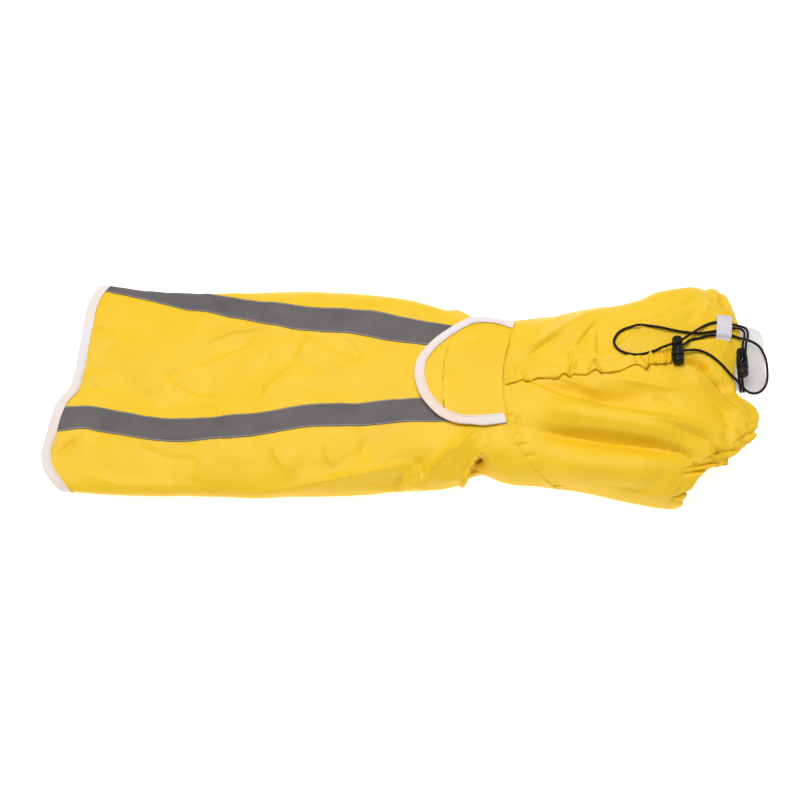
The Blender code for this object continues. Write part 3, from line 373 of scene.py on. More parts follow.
# Creases too fine for the solids
CREASE_POWER = 1.3  # 1 is a sharp crest, 2 a round one
CREASE_FADE = 0.35
CREASE_FAR = 4  # widths past which a crease counts for nothing
CREASES = creases(
    # Back, from the tail to the neck
    """4 4 -1.8, 50 68, 62 66, 75 60;
    3.5 5 -1.6, 42 19, 56 19.5, 72 16;
    3 3 -1.3, 64 34, 70 40, 77 47;
    3 4 -1.5, 46 2, 58 -4, 71 -13;
    9 4 1.6, 84 57, 99 43, 116 24;
    3 3 -1.3, 126 8, 134 11, 143 17;
    12 3 -3.4, 122 10, 141 -2, 159 -11, 196 -14;
    3 20 2.4, 152 14, 178 24, 200 38, 216 52;
    2.2 3.5 -2.4, 22 -80, 31 -70, 42 -60;
    4 10 2.6, 26 -94, 58 -101, 84 -111, 124 -113, 170 -116;
    2.2 3 -2.4, 170 106, 176 96, 185 80;
    3 7 -1.8, 284 58, 293 68, 302 80;
    3 14 2, 158 -112, 163 -96, 166 -84;
    2.5 2.5 -1.7, 194 35, 203 43, 213 52;
    3 34 3, 255 20, 262 34, 273 50;
    22 3.4 -3, 304 14, 318 26, 310 38, 297 50;
    3 3 1.5, 270 16, 279 8, 288 -1;
    3 26 3, 220 -34, 229 -8, 246 8, 266 21;
    3 20 2.6, 256 -108, 240 -92, 232 -72;
    3 22 2.4, 300 -104, 288 -88, 284 -68;
    5 5 -1.8, 318 -90, 323 -80, 328 -66;
    4 5 -1.9, 269 101, 276 91, 283 82;
    7 2 2, 150 40, 190 58, 232 62;
    12 10 3.6, 140 100, 165 104, 188 106, 212 106;
    13 11 -4.4, 312 104, 352 102, 392 97, 428 93;
    3 12 -1.4, 96 -70, 130 -84, 176 -90""",
    # The long fold low on the right, and the tuck under the end of the leash flap
    """2.6 9 2.6, 204 -122, 240 -119, 280 -111, 320 -105;
    2.6 7 5.4, 262 -116, 300 -108, 328 -104, 350 -99.5, 361 -96, 367 -101, 371 -110, 375 -118,
        378 -121, 381 -124;
    8 3 -4.6, 374 -88, 379 -98, 382 -108, 383 -114;
    20 2.4 -7, 353 -131, 356 -124, 359 -116, 362 -104;
    1.8 3.2 4.4, 374 -120, 378 -115, 392 -98, 404 -86, 416 -80, 430 -64, 438 -59;
    2 2.6 -1.8, 384 -112, 394 -100, 405 -90, 411 -87, 417 -80;
    1.6 2.2 -2.4, 414 -84, 425 -71, 435 -62;
    4 5 -3, 411 -88, 418 -98, 424 -106;
    9 7 2.6, 396 -114, 408 -110, 419 -114;
    8 1.4 5, 450 -66, 444 -76, 440 -84, 434 -90, 428 -101, 424 -112, 419 -128, 415 -142;
    13 1.4 -15, 441.5 -81, 438.5 -88, 432 -101, 428.5 -112, 425 -124, 423 -134;
    3 6 1.8, 444 -80, 448 -92, 458 -103, 466 -116;
    5 6 -1.6, 452 -86, 458 -94, 466 -102""",
    # Right half of the hood: the hollow under the casing
    """2.6 15 5, 472 -13, 487 -17, 500 -23, 525 -35, 550 -47;
    9 5 -2.4, 498 -15, 516 -21, 534 -27;
    14 4 -9, 526 -20, 546 -30, 570 -43, 598 -51, 626 -57, 642 -60;
    3 7 2.8, 508 2, 514 -8, 531 -17, 546 -23, 562 -26;
    5 3.2 3.2, 560 -13, 580 -18, 600 -23, 618 -27, 646 -27;
    4 5 -2, 604 -34, 618 -42, 632 -50;
    3 4 1.4, 532 -13, 535 -22, 538 -31""",
    # The long roll, the valley under it and the ridges that run into the face hem
    """12 9 3, 480 -45, 514 -51, 554 -60, 592 -69, 622 -74, 648 -82;
    6 2.2 3.8, 590 -60, 612 -64, 626 -66.5, 642 -68, 660 -72, 674 -76;
    2.5 8 -3.8, 620 -68, 634 -73, 652 -78, 668 -84;
    7 4 3.2, 500 -58, 540 -66, 580 -74, 612 -81, 636 -88, 654 -94;
    4 9 -5, 482 -60, 520 -71, 556 -81, 596 -88, 630 -94, 648 -100, 662 -108;
    6 7 -3.6, 622 -90, 634 -97, 646 -103;
    2 2 -2.2, 636 -98, 643 -104, 652 -111;
    12 14 2.8, 486 -92, 534 -104, 591 -114;
    3 3 -2.6, 473 -46, 475 -56, 478 -66;
    5 9 -2.4, 590 -132, 604 -124, 622 -116;
    7 7 2.2, 600 -104, 616 -112, 628 -124""",
    # Beside the crown lock: a ridge with hollows above and below it
    """3.2 2.2 3.8, 630 -1, 640 -2.5, 648 -6, 658 -17, 670 -27, 682 -38, 694 -50;
    4.5 2 -11, 638 5, 648 3.5, 657 -1, 665 -8;
    3 3 1.8, 664 8, 663 -2, 662 -14;
    7 3 -5, 664 -17, 672 -24, 681 -32;
    3 8 -3, 648 -16, 658 -28, 672 -42, 686 -55;
    1.2 1.4 -2.6, 640 23, 648 28.5, 662 32, 678 33, 690 31, 695 24;
    1.6 10 3.6, 638 20, 648 26, 662 29.5, 678 30.5, 692 27;
    3 3 -1.6, 640 27, 652 32, 666 36;
    5 5 -2.4, 673 -50, 678 -60, 683 -70""",
    # Tucks and lobes of the hood against the face hem
    """2.4 3 -4.2, 660 -81, 665 -88, 671 -97, 676 -104;
    2.4 3 3, 667 -80, 671 -88, 677 -98;
    3 3 -3.2, 676 -68, 676 -78, 680 -88;
    2.5 2.5 -2.6, 686 -66, 693 -72, 699 -78;
    4 4 2, 682 -64, 688 -76, 692 -86;
    3 3 -1.8, 678 -33, 689 -46, 703 -59""",
    # Left half of the hood
    """2 4 -2.6, 474 14, 484 16.5, 491 21, 500 28, 516 37, 530 46;
    2.6 3 -3, 526 25, 528 15, 529 5;
    3 2 2.8, 532 30, 541 40, 549 50, 556 58;
    2 7 -3.4, 531 22, 539 31, 548 44;
    3 3 -1.8, 542 27, 538 20, 535 13;
    11 2.4 -4, 556 46, 555 32, 555 20, 555 8;
    2 12 4.2, 558 8, 573 20, 597 38, 622 56, 650 83;
    10 2.4 3.2, 470 20, 500 33, 530 53, 560 75;
    4 4 -1.8, 508 13, 531 34, 556 47;
    2 8 -3, 600 52, 621 62, 640 74, 662 92;
    6 4 -3, 640 50, 650 60, 660 72;
    5 4 -2, 560 84, 584 92, 612 94;
    4 4 1.8, 648 56, 664 68, 672 86;
    5 5 -2, 492 62, 512 78, 530 98;
    14 12 -2.6, 606 108, 630 114, 650 117;
    7 7 2.6, 652 118, 665 118.5, 678 118;
    10 2.2 2.6, 679 110, 678 100, 676 88, 673 66;
    2.4 9 -4.2, 683 104, 683 92, 680 72""",
    # Sides that turn away from the light
    """5 4 -2.4, 90 134, 128 128, 170 120;
    6 4 2.2, 196 120, 236 124, 280 118;
    4 6 -2.4, 322 112, 350 104, 372 110;
    4 3 2.8, 392 106, 410 92, 432 76;
    4 4 -3, 420 104, 434 92, 446 80;
    5 4 -2.4, 560 -124, 586 -132, 612 -136;
    5 4 -2.4, 520 104, 556 112, 600 118""",
)

LOW_SIDE_FADE = 0.045  # share of the way round over which the creases fade to the flat underside

# Crumpling of the coated cloth, as the size of its facets, their height and the angle of their grain
CRUMPLES = ((66, 4.2, 0.35), (37, 2.1, 1.5), (19, 0.6, 2.4))
CREST = 1.5  # how round the edges between facets are
HOOD_CRUMPLE = 0.42  # share of the crumpling on the hood, which is drawn tighter

GRID = 97  # cells of the noise before it repeats
FAR = 900  # keeps the noise clear of its first cell

PUCKER_REACH = 7.0  # length of the puckers along the neck seam
SEAM_GROOVE = 0.5
SEAM_LAP = 0.7

# Edge of the leash flap, as distance from the neck seam and across from its middle
FLAP_EDGE = table("down across", """
    0 59.5, 14 65, 32 66.5, 45 63.5, 54 57, 63 49, 73 39, 81 27, 86.3 14, 87.5 2, 86.3 -11, 81.5 -27,
    74 -40, 65 -51, 53 -58, 40 -61, 26 -61.5, 11 -60, 0 -59
""")
# Creases of the flap, by distance down and across
FLAP_CREASES = creases(
    """9 9 -1.3, 58 22, 42 -8, 24 -42;
    4 4 0.9, 70 30, 58 44, 40 54;
    4 6 -0.9, 20 44, 34 34, 48 36;
    3 3 0.8, 76 -6, 64 -18, 56 -34;
    3 4 -0.8, 12 -8, 26 -2, 38 8""",
)

# Edges of the casing along the crown, as distances round from it
CASING_EDGES = table("x upper lower", """
    462.6 3 -14.8, 467 2.6 -14.4, 472.5 2.4 -13.6, 477 2.4 -12, 480.2 2.4 -11, 482.4 2.4 -13.4,
    487.5 2.4 -13.2, 493.5 2.4 -10.4, 506 2.2 -10.6, 517 1.6 -10, 520.5 1.6 -7.4, 526.4 2.6 -11.4,
    529 5.2 -8.6, 534.5 7 -9, 541 7.4 -9.6, 547 6.4 -7, 551 5.6 -4.6, 556 4 -7.6, 561 3.6 -8.6,
    571 6.2 -8.6, 577 7.6 -7.2, 585 8.6 -3.4, 592 8.4 -1, 597 8.4 -4, 600.6 9.6 -6.6, 604 11.2 -1.8,
    610 12.4 -1.4, 617 15.4 -0.6, 624.5 18.4 1
""")
# Gathers across it: where, how high and wide, how they lean, and from which edge to which they run
GATHERS = table("x height width lean low high", """
    470 0.7 4 -1 -2 2, 480.8 2.2 2.4 -3 -2 0.4, 497 0.6 6 1 -2 2, 514 0.7 4 0 -1 2,
    525.2 2.8 2.2 1.6 -2 0.8, 531.5 1.6 2.4 -0.6 -0.4 2, 547.5 1.8 2.6 4 -0.6 2,
    553.2 2.8 2.1 -3.4 -2 1.4, 568 0.8 6 0 -2 2, 588.5 1.6 3.4 -4.5 -0.6 2, 598.2 3.2 2.4 -4.2 -2 0.8,
    602.6 2.4 1.8 2.2 -1.6 2, 607.6 2.8 1.9 -2.4 -2 1.6, 612.4 2.2 1.8 -1.6 -1 2,
    616.6 3 2 -2.8 -2 1.2, 619.8 2.4 1.6 1.4 -1.4 2, 624.6 3.6 2.2 -0.6 -2 2
""")
CASING_TUNNEL = 1.9  # height of the tunnel that the cord runs in

# Pinches of the elastic hem on the right side: place round from the crown, width, depth and slant
HEM_PINCHES = (
    (-47, 3.0, 0.3, 0.3), (-62, 2.6, 0.45, 0.4), (-72, 3.0, 0.95, 0.6), (-80, 2.4, 0.9, -0.3),
    (-90, 2.8, 0.8, 0.3), (-97.5, 1.8, 1.15, -0.5), (-103, 1.8, 0.9, 0.5), (-110, 2.0, 0.95, 0.4),
    (-134, 1.8, 1.15, 0.5), (-139.5, 1.8, 0.4, -0.4), (-147, 5.0, -0.4, 0.0),
)
# Random ones beyond them: from where to where, their greatest width, least and greatest depth, and
# the most that they lie apart
MORE_PINCHES = ((66.0, 150, 3.0, 0.3, 0.9, 17), (158.0, 380, 3.2, 0.4, 1.0, 18))
HEM_X = 680  # distances round the hem are measured here
HEM_UNDER = 225  # length of the hem across the underside


def corners_of(a, b, seed):
    """Random heights at the corners of the cell that each place is in, and the place in the cell."""
    grid = np.random.default_rng(seed).uniform(-1, 1, (GRID, GRID))
    i, j = np.floor(a).astype(int), np.floor(b).astype(int)
    heights = [grid[(i + di) % GRID, (j + dj) % GRID] for di, dj in ((0, 0), (1, 0), (0, 1), (1, 1))]
    return *heights, a - i, b - j


def noise(a, b, size, seed):
    """Smooth noise from -1 to 1 over a plane, with features of about this size."""
    a, b = (np.asarray(a, float) + FAR) / size, (np.asarray(b, float) + FAR) / size
    near, right, up, over, s, t = corners_of(a, b, seed)
    s, t = s**3 * (s * (6 * s - 15) + 10), t**3 * (t * (6 * t - 15) + 10)
    return (near * (1 - s) + right * s) * (1 - t) + (up * (1 - s) + over * s) * t


def facets(a, b, size, seed):
    """Flat triangular facets from -1 to 1 over a plane, of about this size and drawn out unevenly."""
    wander = 0.42 * size
    a, b = (
        (a + FAR + wander * noise(a, b, 1.3 * size, seed + 1)) / size,
        (b + FAR + wander * noise(a, b, 1.3 * size, seed + 2)) / size,
    )
    near, right, up, across, s, t = corners_of(a, b, seed)
    over = s + t > 1
    near = np.where(over, across, near)
    to_right, to_up = np.where(over, 1 - t, s), np.where(over, 1 - s, t)
    return near + to_right * (right - near) + to_up * (up - near)


def crumpled(x, around, seed=3):
    """Facets with soft edges between them, over the whole cloth."""
    height = np.zeros_like(x)
    for step, (size, depth, grain) in enumerate(CRUMPLES):
        for dx, dy in ((CREST, 0), (-CREST, 0), (0, CREST), (0, -CREST)):
            a = (x + dx) * math.cos(grain) + (around + dy) * math.sin(grain)
            b = (around + dy) * math.cos(grain) - (x + dx) * math.sin(grain)
            height += 0.25 * depth * facets(a, b, size, seed + 10 * step)
    height += 0.07 * noise(x, around, 8, seed + 60)
    away = np.abs(around)
    calm = (1 - HOOD_CRUMPLE) * rising(x, 440, 500)
    side = rising(away, 88, 113)
    under_flap = rising(x, 355, 375) * rising(x, 470, 464) * rising(away, 80, 66)
    return height * (1 - calm) * (1 - 0.55 * side) * (1 - 0.75 * under_flap)


def pucker_places():
    random = np.random.default_rng(11)
    places = [(-49, 2.2), (-60, 1.2), (-70, 1.2), (-80, 2.2), (-91, 2.0)]
    for low, high in ((-148, -99), (62, 146)):
        at = low + random.uniform(2, 8)
        while at < high:
            places.append((at, random.uniform(0.9, 2.2)))
            at += random.uniform(6, 15)
    return places


PUCKERS_AT = pucker_places()


def seam_detail(x, around, u):
    """The neck seam's groove, and the puckers that it draws in the hood beside it."""
    slant = np.clip(np.abs(np.gradient(NECK_SEAM["x"]) / np.gradient(NECK_SEAM["round"])) / 145, 0, 2)
    away = (x - seam(NECK_SEAM, u)) / np.hypot(1, np.interp(u, NECK_SEAM["round"], slant))
    height = 0.45 * bell((away + 3.6) / 1.8) - SEAM_GROOVE * bell(away / 1.5)
    for at, depth in PUCKERS_AT:
        beside = bell((away - 0.45 * PUCKER_REACH) / (0.7 * PUCKER_REACH))
        height -= depth * bell((around - at - 0.25 * away) / 1.7) * beside
    return height


def detail(x, u):
    """Height of everything on the cloth's top that the solids leave out."""
    around = u * side_length(x, u)
    height = creased(x, around, CREASES) + crumpled(x, around) + seam_detail(x, around, u)
    return np.where(u <= 1, height, 0)


def coat(x, u, fine=False):
    """The coat's outer face, x from the tail end and u round it, in millimetres from the origin."""
    x, u = np.broadcast_arrays(np.asarray(x, float), np.asarray(u, float))
    y, z, out_y, out_z = section(x, u)
    height = relief(x, u * side_length(x, u)) * ease((1 - np.abs(u)) / SIDE_FADE)
    height *= 1 - SEAM_PINCH * bell((x - seam(NECK_SEAM, u)) / SEAM_REACH)
    if fine:
        height += detail(x, u) * ease((1 - np.abs(u)) / LOW_SIDE_FADE)
    rise = HEM_RISE * rising(x - seam(TAIL_EDGE, u), *HEM_FADE)
    return np.stack([x - MIDDLE_X, y + height * out_y, z + height * out_z + rise], axis=-1)


def normals(x, u, fine=False):
    """Unit outward directions of coat(x, u)."""
    along = coat(x + 1, u, fine) - coat(x - 1, u, fine)
    return unit(np.cross(along, coat(x, u + 0.004, fine) - coat(x, u - 0.004, fine)))


def layer(x, u, lift=0.0, fine=False):
    """Points at a height above the coat's outer face, or inside it where the height is negative."""
    return coat(x, u, fine) + normals(x, u, fine) * np.asarray(lift, float)[..., None]


def round_at(x, around):
    """The share u of the way round that lies a distance around from the crown."""
    x, around = np.broadcast_arrays(np.asarray(x, float), np.asarray(around, float))
    return around / side_length(x, np.sign(around))


def inset(edge, u, width):
    """How far along x a strip of this width reaches, where the edge slants across the cloth."""
    step = 0.01
    rise = seam(edge, u + step) - seam(edge, u - step)
    middle = edge["x"].mean()
    run = np.linalg.norm(coat(middle, u + step) - coat(middle, u - step), axis=-1)
    return width * np.hypot(1, rise / run)


def facing(points, ring=False):
    """Unit normals of a grid of points, whose rows run towards the face and columns to the left."""
    along = np.gradient(points, axis=0)
    if ring:
        across = (np.roll(points, -1, axis=1) - np.roll(points, 1, axis=1)) / 2
    else:
        across = np.gradient(points, axis=1)
    out = np.cross(along, across)
    return out / np.maximum(np.linalg.norm(out, axis=-1, keepdims=True), 1e-9)


def linked(name, mesh, finish=None, sharp=60):
    """Puts the mesh in the scene, shaded smooth if it is given a material."""
    if finish:
        mesh.materials.append(finish)
        mesh.shade_smooth()
        mesh.set_sharp_from_angle(angle=math.radians(sharp))
    made = bpy.data.objects.new(name, mesh)
    bpy.context.scene.collection.objects.link(made)
    return made


def from_bmesh(name, shape, *finish):
    mesh = bpy.data.meshes.new(name)
    shape.to_mesh(mesh)
    shape.free()
    return linked(name, mesh, *finish)


def add(name, points, faces, finish, cut, sharp=60):
    """A piece from its points, its faces and each point's place on the flat cloth."""
    mesh = bpy.data.meshes.new(name)
    mesh.from_pydata((np.asarray(points) * MM).tolist(), [], faces)
    place = mesh.attributes.new("cut", "FLOAT_VECTOR", "POINT")
    place.data.foreach_set("vector", (np.asarray(cut) * MM).astype(np.float32).ravel())
    return linked(name, mesh, finish, sharp)


def squares(number, rows, columns, step=1, order=(0, 1, 2, 3)):
    """Faces over a grid whose points the function numbers."""
    i, j = (grid.ravel() for grid in np.mgrid[0:rows:step, 0:columns:step])
    ends = ((i, j), (i + step, j), (i + step, j + step), (i, j + step))
    return np.stack([number(*ends[k]) for k in order], axis=-1).tolist()


FLIPPED = (0, 3, 2, 1)


def shell(name, outer, thickness, finish, cut, ring=False, step=3, out=None, low=0.02):
    """A thin closed wall from the grid of its outer face. Its inner face has every few points of it."""
    rows, columns = outer.shape[:2]
    out = facing(outer, ring) if out is None else out
    outer = np.array(outer)
    outer[..., 2] = np.maximum(outer[..., 2], low)
    picked_rows = np.arange(0, rows, step)
    picked_columns = np.arange(0, columns, step)
    inner = (outer - out * thickness)[np.ix_(picked_rows, picked_columns)]
    spans = columns if ring else columns - 1
    base = rows * columns

    def o(i, j):
        return i * columns + j % columns

    def n(i, j):
        return base + i // step * len(picked_columns) + (j // step) % len(picked_columns)

    faces = squares(o, rows - 1, spans) + squares(n, rows - 1, spans, step, FLIPPED)
    for j in range(0, spans, step):
        first = [o(0, j + k) for k in range(step + 1)]
        last = [o(rows - 1, j + step - k) for k in range(step + 1)]
        faces += [first + [n(0, j + step), n(0, j)], last + [n(rows - 1, j), n(rows - 1, j + step)]]
    if not ring:
        for i in range(0, rows - 1, step):
            near = [o(i + step - k, 0) for k in range(step + 1)]
            far = [o(i + k, columns - 1) for k in range(step + 1)]
            faces += [near + [n(i, 0), n(i + step, 0)]]
            faces += [far + [n(i + step, columns - 1), n(i, columns - 1)]]
    inner[..., 2] = np.maximum(inner[..., 2], low)
    cut = np.stack([*np.broadcast_arrays(*cut), np.zeros((rows, columns))], axis=-1)
    chosen = cut[np.ix_(picked_rows, picked_columns)]
    points, cut = (
        np.concatenate([first.reshape(-1, 3), last.reshape(-1, 3)])
        for first, last in ((outer, inner), (cut, chosen))
    )
    return add(name, points, faces, finish, cut)


def steps_of(length, pitch, step=3):
    """Number of points for spans near this pitch, so that the spans are a whole number of steps."""
    return step * max(1, round(length / pitch / step)) + 1


def cloth_sheet(name, start, end, u, count, finish, lift=0.0, thickness=1.1, low=0.02):
    """A piece of cloth between two seams, with its outer face at a height above the coat's."""
    x = start + np.linspace(0, 1, count)[:, None] * (end - start)
    u = u + 0 * x
    outer = coat(x, u, True)
    out = facing(outer)
    outer = outer + out * np.broadcast_to(lift, x.shape)[..., None]
    around = np.where(u <= 1, u * side_length(x, u), 150 + (u - 1) * UNDER_HALF)
    return shell(name, outer, thickness, finish, (x, around), out=out, low=low)


def neck_edge(u):
    return seam(NECK_SEAM, u)


def back_start(u):
    return seam(TAIL_EDGE, u) + TRIM + 3 * GAP


def back_cloth(finish):
    u = np.linspace(-1, 1, steps_of(ROUND, 1.36))
    start, end = back_start(u), seam(NECK_SEAM, u) - 0.05
    return cloth_sheet("back_cloth", start, end, u, steps_of(BODY, 1.42), finish)


def under_sheet(name, first, last, length, seed, finish, low=0.02):
    """A piece of the underside, which rests on the table and wrinkles only away from it."""
    u = np.linspace(1.003, 2.997, steps_of(UNDER, 2.4))
    start, end = first(u), last(u) - GAP / 2
    count = steps_of(length, 2.4)
    x = start + np.linspace(0, 1, count)[:, None] * (end - start)
    across = UNDER_HALF * (u + 0 * x - 1)
    soft = 0.5 + 0.5 * noise(x, across, 36, seed)
    fine = 0.5 + 0.5 * noise(x, across, 14, seed + 1)
    lift = -(0.75 * soft + 0.3 * fine) * rising(np.minimum(u - 1, 3 - u), 0, 0.15)
    return cloth_sheet(name, start, end, u, count, finish, lift, 0.9, low)


def belly_cloth(finish):
    # The leg openings are cut from it, so its points stay where they are instead of at 0.02
    made = under_sheet("belly_cloth", back_start, neck_edge, BODY, 21, finish, low=-1)
    for side, y in LEGS:
        bpy.ops.mesh.primitive_cylinder_add(vertices=72, radius=0.5, depth=20 * MM)
        cutter = bpy.context.object
        cutter.name = f"leg_cutter_{side}"
        cutter.data.transform(Matrix.Diagonal((LEG_SIZE[0] * MM, LEG_SIZE[1] * MM, 1, 1)))
        cutter.location = ((LEG_X - MIDDLE_X) * MM, y * MM, 0)
        cut_away(made, cutter)
    return made


def cut_away(made, cutter):
    """Cuts the cutter out of the piece and removes the cutter."""
    cut = made.modifiers.new("cut", "BOOLEAN")
    cut.operation = "DIFFERENCE"
    cut.object = cutter
    bpy.context.view_layer.update()
    mesh = bpy.data.meshes.new_from_object(made.evaluated_get(bpy.context.evaluated_depsgraph_get()))
    made.modifiers.clear()
    made.data = mesh
    bpy.data.objects.remove(cutter, do_unlink=True)


def leg_hems(finish):
    """A soft rolled hem round each leg opening."""
    made = []
    turn = np.linspace(0, 2 * math.pi, 97)[:-1]
    section_turn = np.linspace(0, 2 * math.pi, 13)[:-1]
    gather = 0.35 * np.sin(turn * 23) + 0.2 * np.sin(turn * 37 + 1)
    reach_x, reach_y = (size / 2 + 1.8 for size in LEG_SIZE)
    for side, y in LEGS:
        rows = []
        for angle in section_turn[::-1]:
            away = 2.6 * np.cos(angle)
            rise = 1.5 + (1.3 + 0.5 * gather * (np.sin(angle) > 0)) * np.sin(angle)
            across = y + (reach_y + away) * np.sin(turn)
            rows.append([LEG_X - MIDDLE_X + (reach_x + away) * np.cos(turn), across, rise])
        made.append(torus(f"leg_hem_{side}", np.moveaxis(np.array(rows), 1, -1), finish))
    return made


def torus(name, points, finish):
    """A closed skin over a grid of points that joins up both ways."""
    rows, columns = points.shape[:2]
    faces = squares(lambda i, j: i % rows * columns + j % columns, rows, columns)
    points = points.reshape(-1, 3)
    return add(name, points, faces, finish, points + MIDDLE_X)


def face_seam(u):
    return seam(FACE_EDGE, u) - inset(FACE_EDGE, u, FACE_HEM)


def hood_cloth(finish):
    u = np.linspace(-1, 1, steps_of(ROUND, 1.12))
    start, end = seam(NECK_SEAM, u) - SEAM_LAP, face_seam(u) - 0.05
    count = steps_of(HOOD, 1.0)
    lapped = 0.34 * bell(np.linspace(0, 1, count)[:, None] * (end - start) / 4)
    return cloth_sheet("hood_cloth", start, end, u, count, finish, lapped)


def throat_start(u):
    return neck_edge(u) + 1.4 * GAP


def throat_cloth(finish):
    return under_sheet("throat_cloth", throat_start, face_seam, THROAT, 31, finish)


def tape_strip(name, middle, finish):
    """A reflective tape, from the tail binding to under the leash flap."""
    count = steps_of(BODY, 1.5)
    edge = np.linspace(-0.5, 0.5, steps_of(TAPE_WIDTH, 1.0))
    narrowed = 0.1 * (edge < 0) * (name == "tape_left_strip")
    u = np.zeros((count, len(edge)))
    share = np.linspace(0, TAPE_END, count)[:, None]
    for _ in range(5):
        start = seam(TAIL_EDGE, u) + inset(TAIL_EDGE, u, BINDING) + GAP - 1.5
        x = start + share * (seam(NECK_SEAM, u) - start)
        drawn = edge * (1 + narrowed * rising(x, 230, 320))
        wander = 0.5 * noise(x, 60 * edge, 21, 63) + 0.3 * noise(x, 60 * edge, 9, 64)
        u = round_at(x, smooth(x, middle["x"], middle["around"]) + drawn * TAPE_WIDTH + wander)
        u = np.minimum(u, TAPE_LIMIT + 0.004 * edge)
    outer = coat(x, u, True)
    out = facing(outer)
    wrinkle = 0.12 * noise(x, edge * TAPE_WIDTH, 16, 61) + 0.1 * noise(x, edge * TAPE_WIDTH, 6, 62)
    lift = 0.75 + wrinkle - 0.25 * bell(((0.5 - np.abs(edge)) * TAPE_WIDTH - 1.6) / 0.7)
    outer = outer + out * lift[..., None]
    return shell(name, outer, 0.4, finish, (x, edge * TAPE_WIDTH), out=out), x, u


def folded(cloth, rise):
    """Distance in from the edge and height of a binding folded over cloth, from under it to over it."""
    low, high = -cloth - rise, rise
    radius = (high - low) / 2
    turn = np.linspace(-math.pi / 2, math.pi / 2, 11)[1:-1]
    distances = (2.0, 3.6, 5.2, 6.8, 8.0, 9.0, 9.5, 10.0)
    path = [(d, low) for d in distances[::-1]]
    path += [(radius - radius * math.cos(a), (low + high) / 2 + radius * math.sin(a)) for a in turn]
    return np.array(path + [(d, high) for d in distances])


def tail_trim(finish):
    """Binding folded over the tail edge, all the way round."""
    u = np.concatenate([np.linspace(-1, 1, 364)[:-1], np.linspace(1, 3, 169)[:-1]])
    u = u[: len(u) // 3 * 3]
    edge, width = seam(TAIL_EDGE, u), inset(TAIL_EDGE, u, BINDING)
    arc = np.where(u <= 1, u * SIDE_ARC, SIDE_ARC + (u - 1) * UNDER_HALF)
    points, cuts = [], []
    for distance, lift in folded(CLOTH, FOLD_GAP + TRIM):
        stretch = np.where(distance > 1.6, width / BINDING, 1.0)
        puff = 0.28 * noise(arc, distance, 17, 71) - 0.35 * bell((distance - HEM_STITCH) / 0.8)
        place = lift + (lift > 0) * rising(distance, 0, 3) * puff
        wander = 0.25 * noise(arc, 0, 30, 72) * (distance > 6)
        points.append(layer(edge + distance * stretch + wander, u, place, True))
        cuts.append((distance * np.sign(lift),))
    return shell("tail_trim", np.array(points), 0.5, finish, (arc, np.array(cuts)), ring=True, step=1)


def flap_half(down, side):
    """Half width of the leash flap on one side, a distance down from the seam."""
    tip = int(np.argmax(FLAP_EDGE["down"]))
    part = slice(tip + 1) if side > 0 else slice(None, tip - 1, -1)
    return np.interp(down, FLAP_EDGE["down"][part], FLAP_EDGE["across"][part])


def on_flap(down, across, lift, fine=True):
    """Points at a height above the flap's underside, from their place down and across the flap."""
    down, across = np.broadcast_arrays(np.asarray(down, float), np.asarray(across, float))
    u = across / FLAP_HALF * 0.4
    for _ in range(5):
        x = seam(NECK_SEAM, u) - GAP / 2 - down
        u = round_at(x, FLAP_MIDDLE + across)
    under = FLAP_SEWN + (FLAP_LIFT - FLAP_SEWN) * ease(down / FLAP_RISES)
    if fine:
        place = creased(down, across, FLAP_CREASES) + 0.2 * crumpled(down + 300, across, 80)
        under = under + np.maximum(place * rising(down, 0, 12), -1.6) + 0.35
    return layer(x, u, under + lift)


def flap_cloth(finish):
    down = FLAP_LENGTH * np.sin(np.linspace(0, math.pi / 2, steps_of(95, 1.0)))[::-1]
    share = np.linspace(-1, 1, steps_of(124, 1.15))
    half = np.where(share[None] > 0, flap_half(down, 1)[:, None], -flap_half(down, -1)[:, None])
    across = share * np.maximum(half - FLAP_INSET, 0.5)
    down = np.maximum(down[:, None] - FLAP_INSET * (down[:, None] > 60) + 0 * across, 0)
    return shell("flap_cloth", on_flap(down, across, 0.9), 0.8, finish, (down, across))


def flap_line():
    """Even points along the flap's edge and the directions in from it."""
    knots = np.stack([FLAP_EDGE["down"], FLAP_EDGE["across"]], axis=-1)
    line = even(spline(knots), 1.2)
    run = unit(np.gradient(line, axis=0))
    inward = np.stack([run[:, 1], -run[:, 0]], axis=-1)
    inward[[0, -1]] = ((0, -1), (0, 1))
    return line, inward


def spline(knots, parts=12):
    """A smooth curve through the knots."""
    knots = np.concatenate([2 * knots[:1] - knots[1:2], knots, 2 * knots[-1:] - knots[-2:-1]])
    t = np.linspace(0, 1, parts, endpoint=False)[:, None]
    pieces = [
        before * (-t + 2 * t**2 - t**3) / 2
        + start * (2 - 5 * t**2 + 3 * t**3) / 2
        + end * (t + 4 * t**2 - 3 * t**3) / 2
        + after * (t**3 - t**2) / 2
        for before, start, end, after in zip(knots, knots[1:], knots[2:], knots[3:])
    ]
    return np.concatenate([*pieces, knots[-2:-1]])


def even(points, pitch):
    """Points at an even pitch along a line of points."""
    reach = reach_of(points)
    at = np.linspace(0, reach[-1], max(2, round(reach[-1] / pitch) + 1))
    return np.stack([np.interp(at, reach, column) for column in points.T], axis=-1)


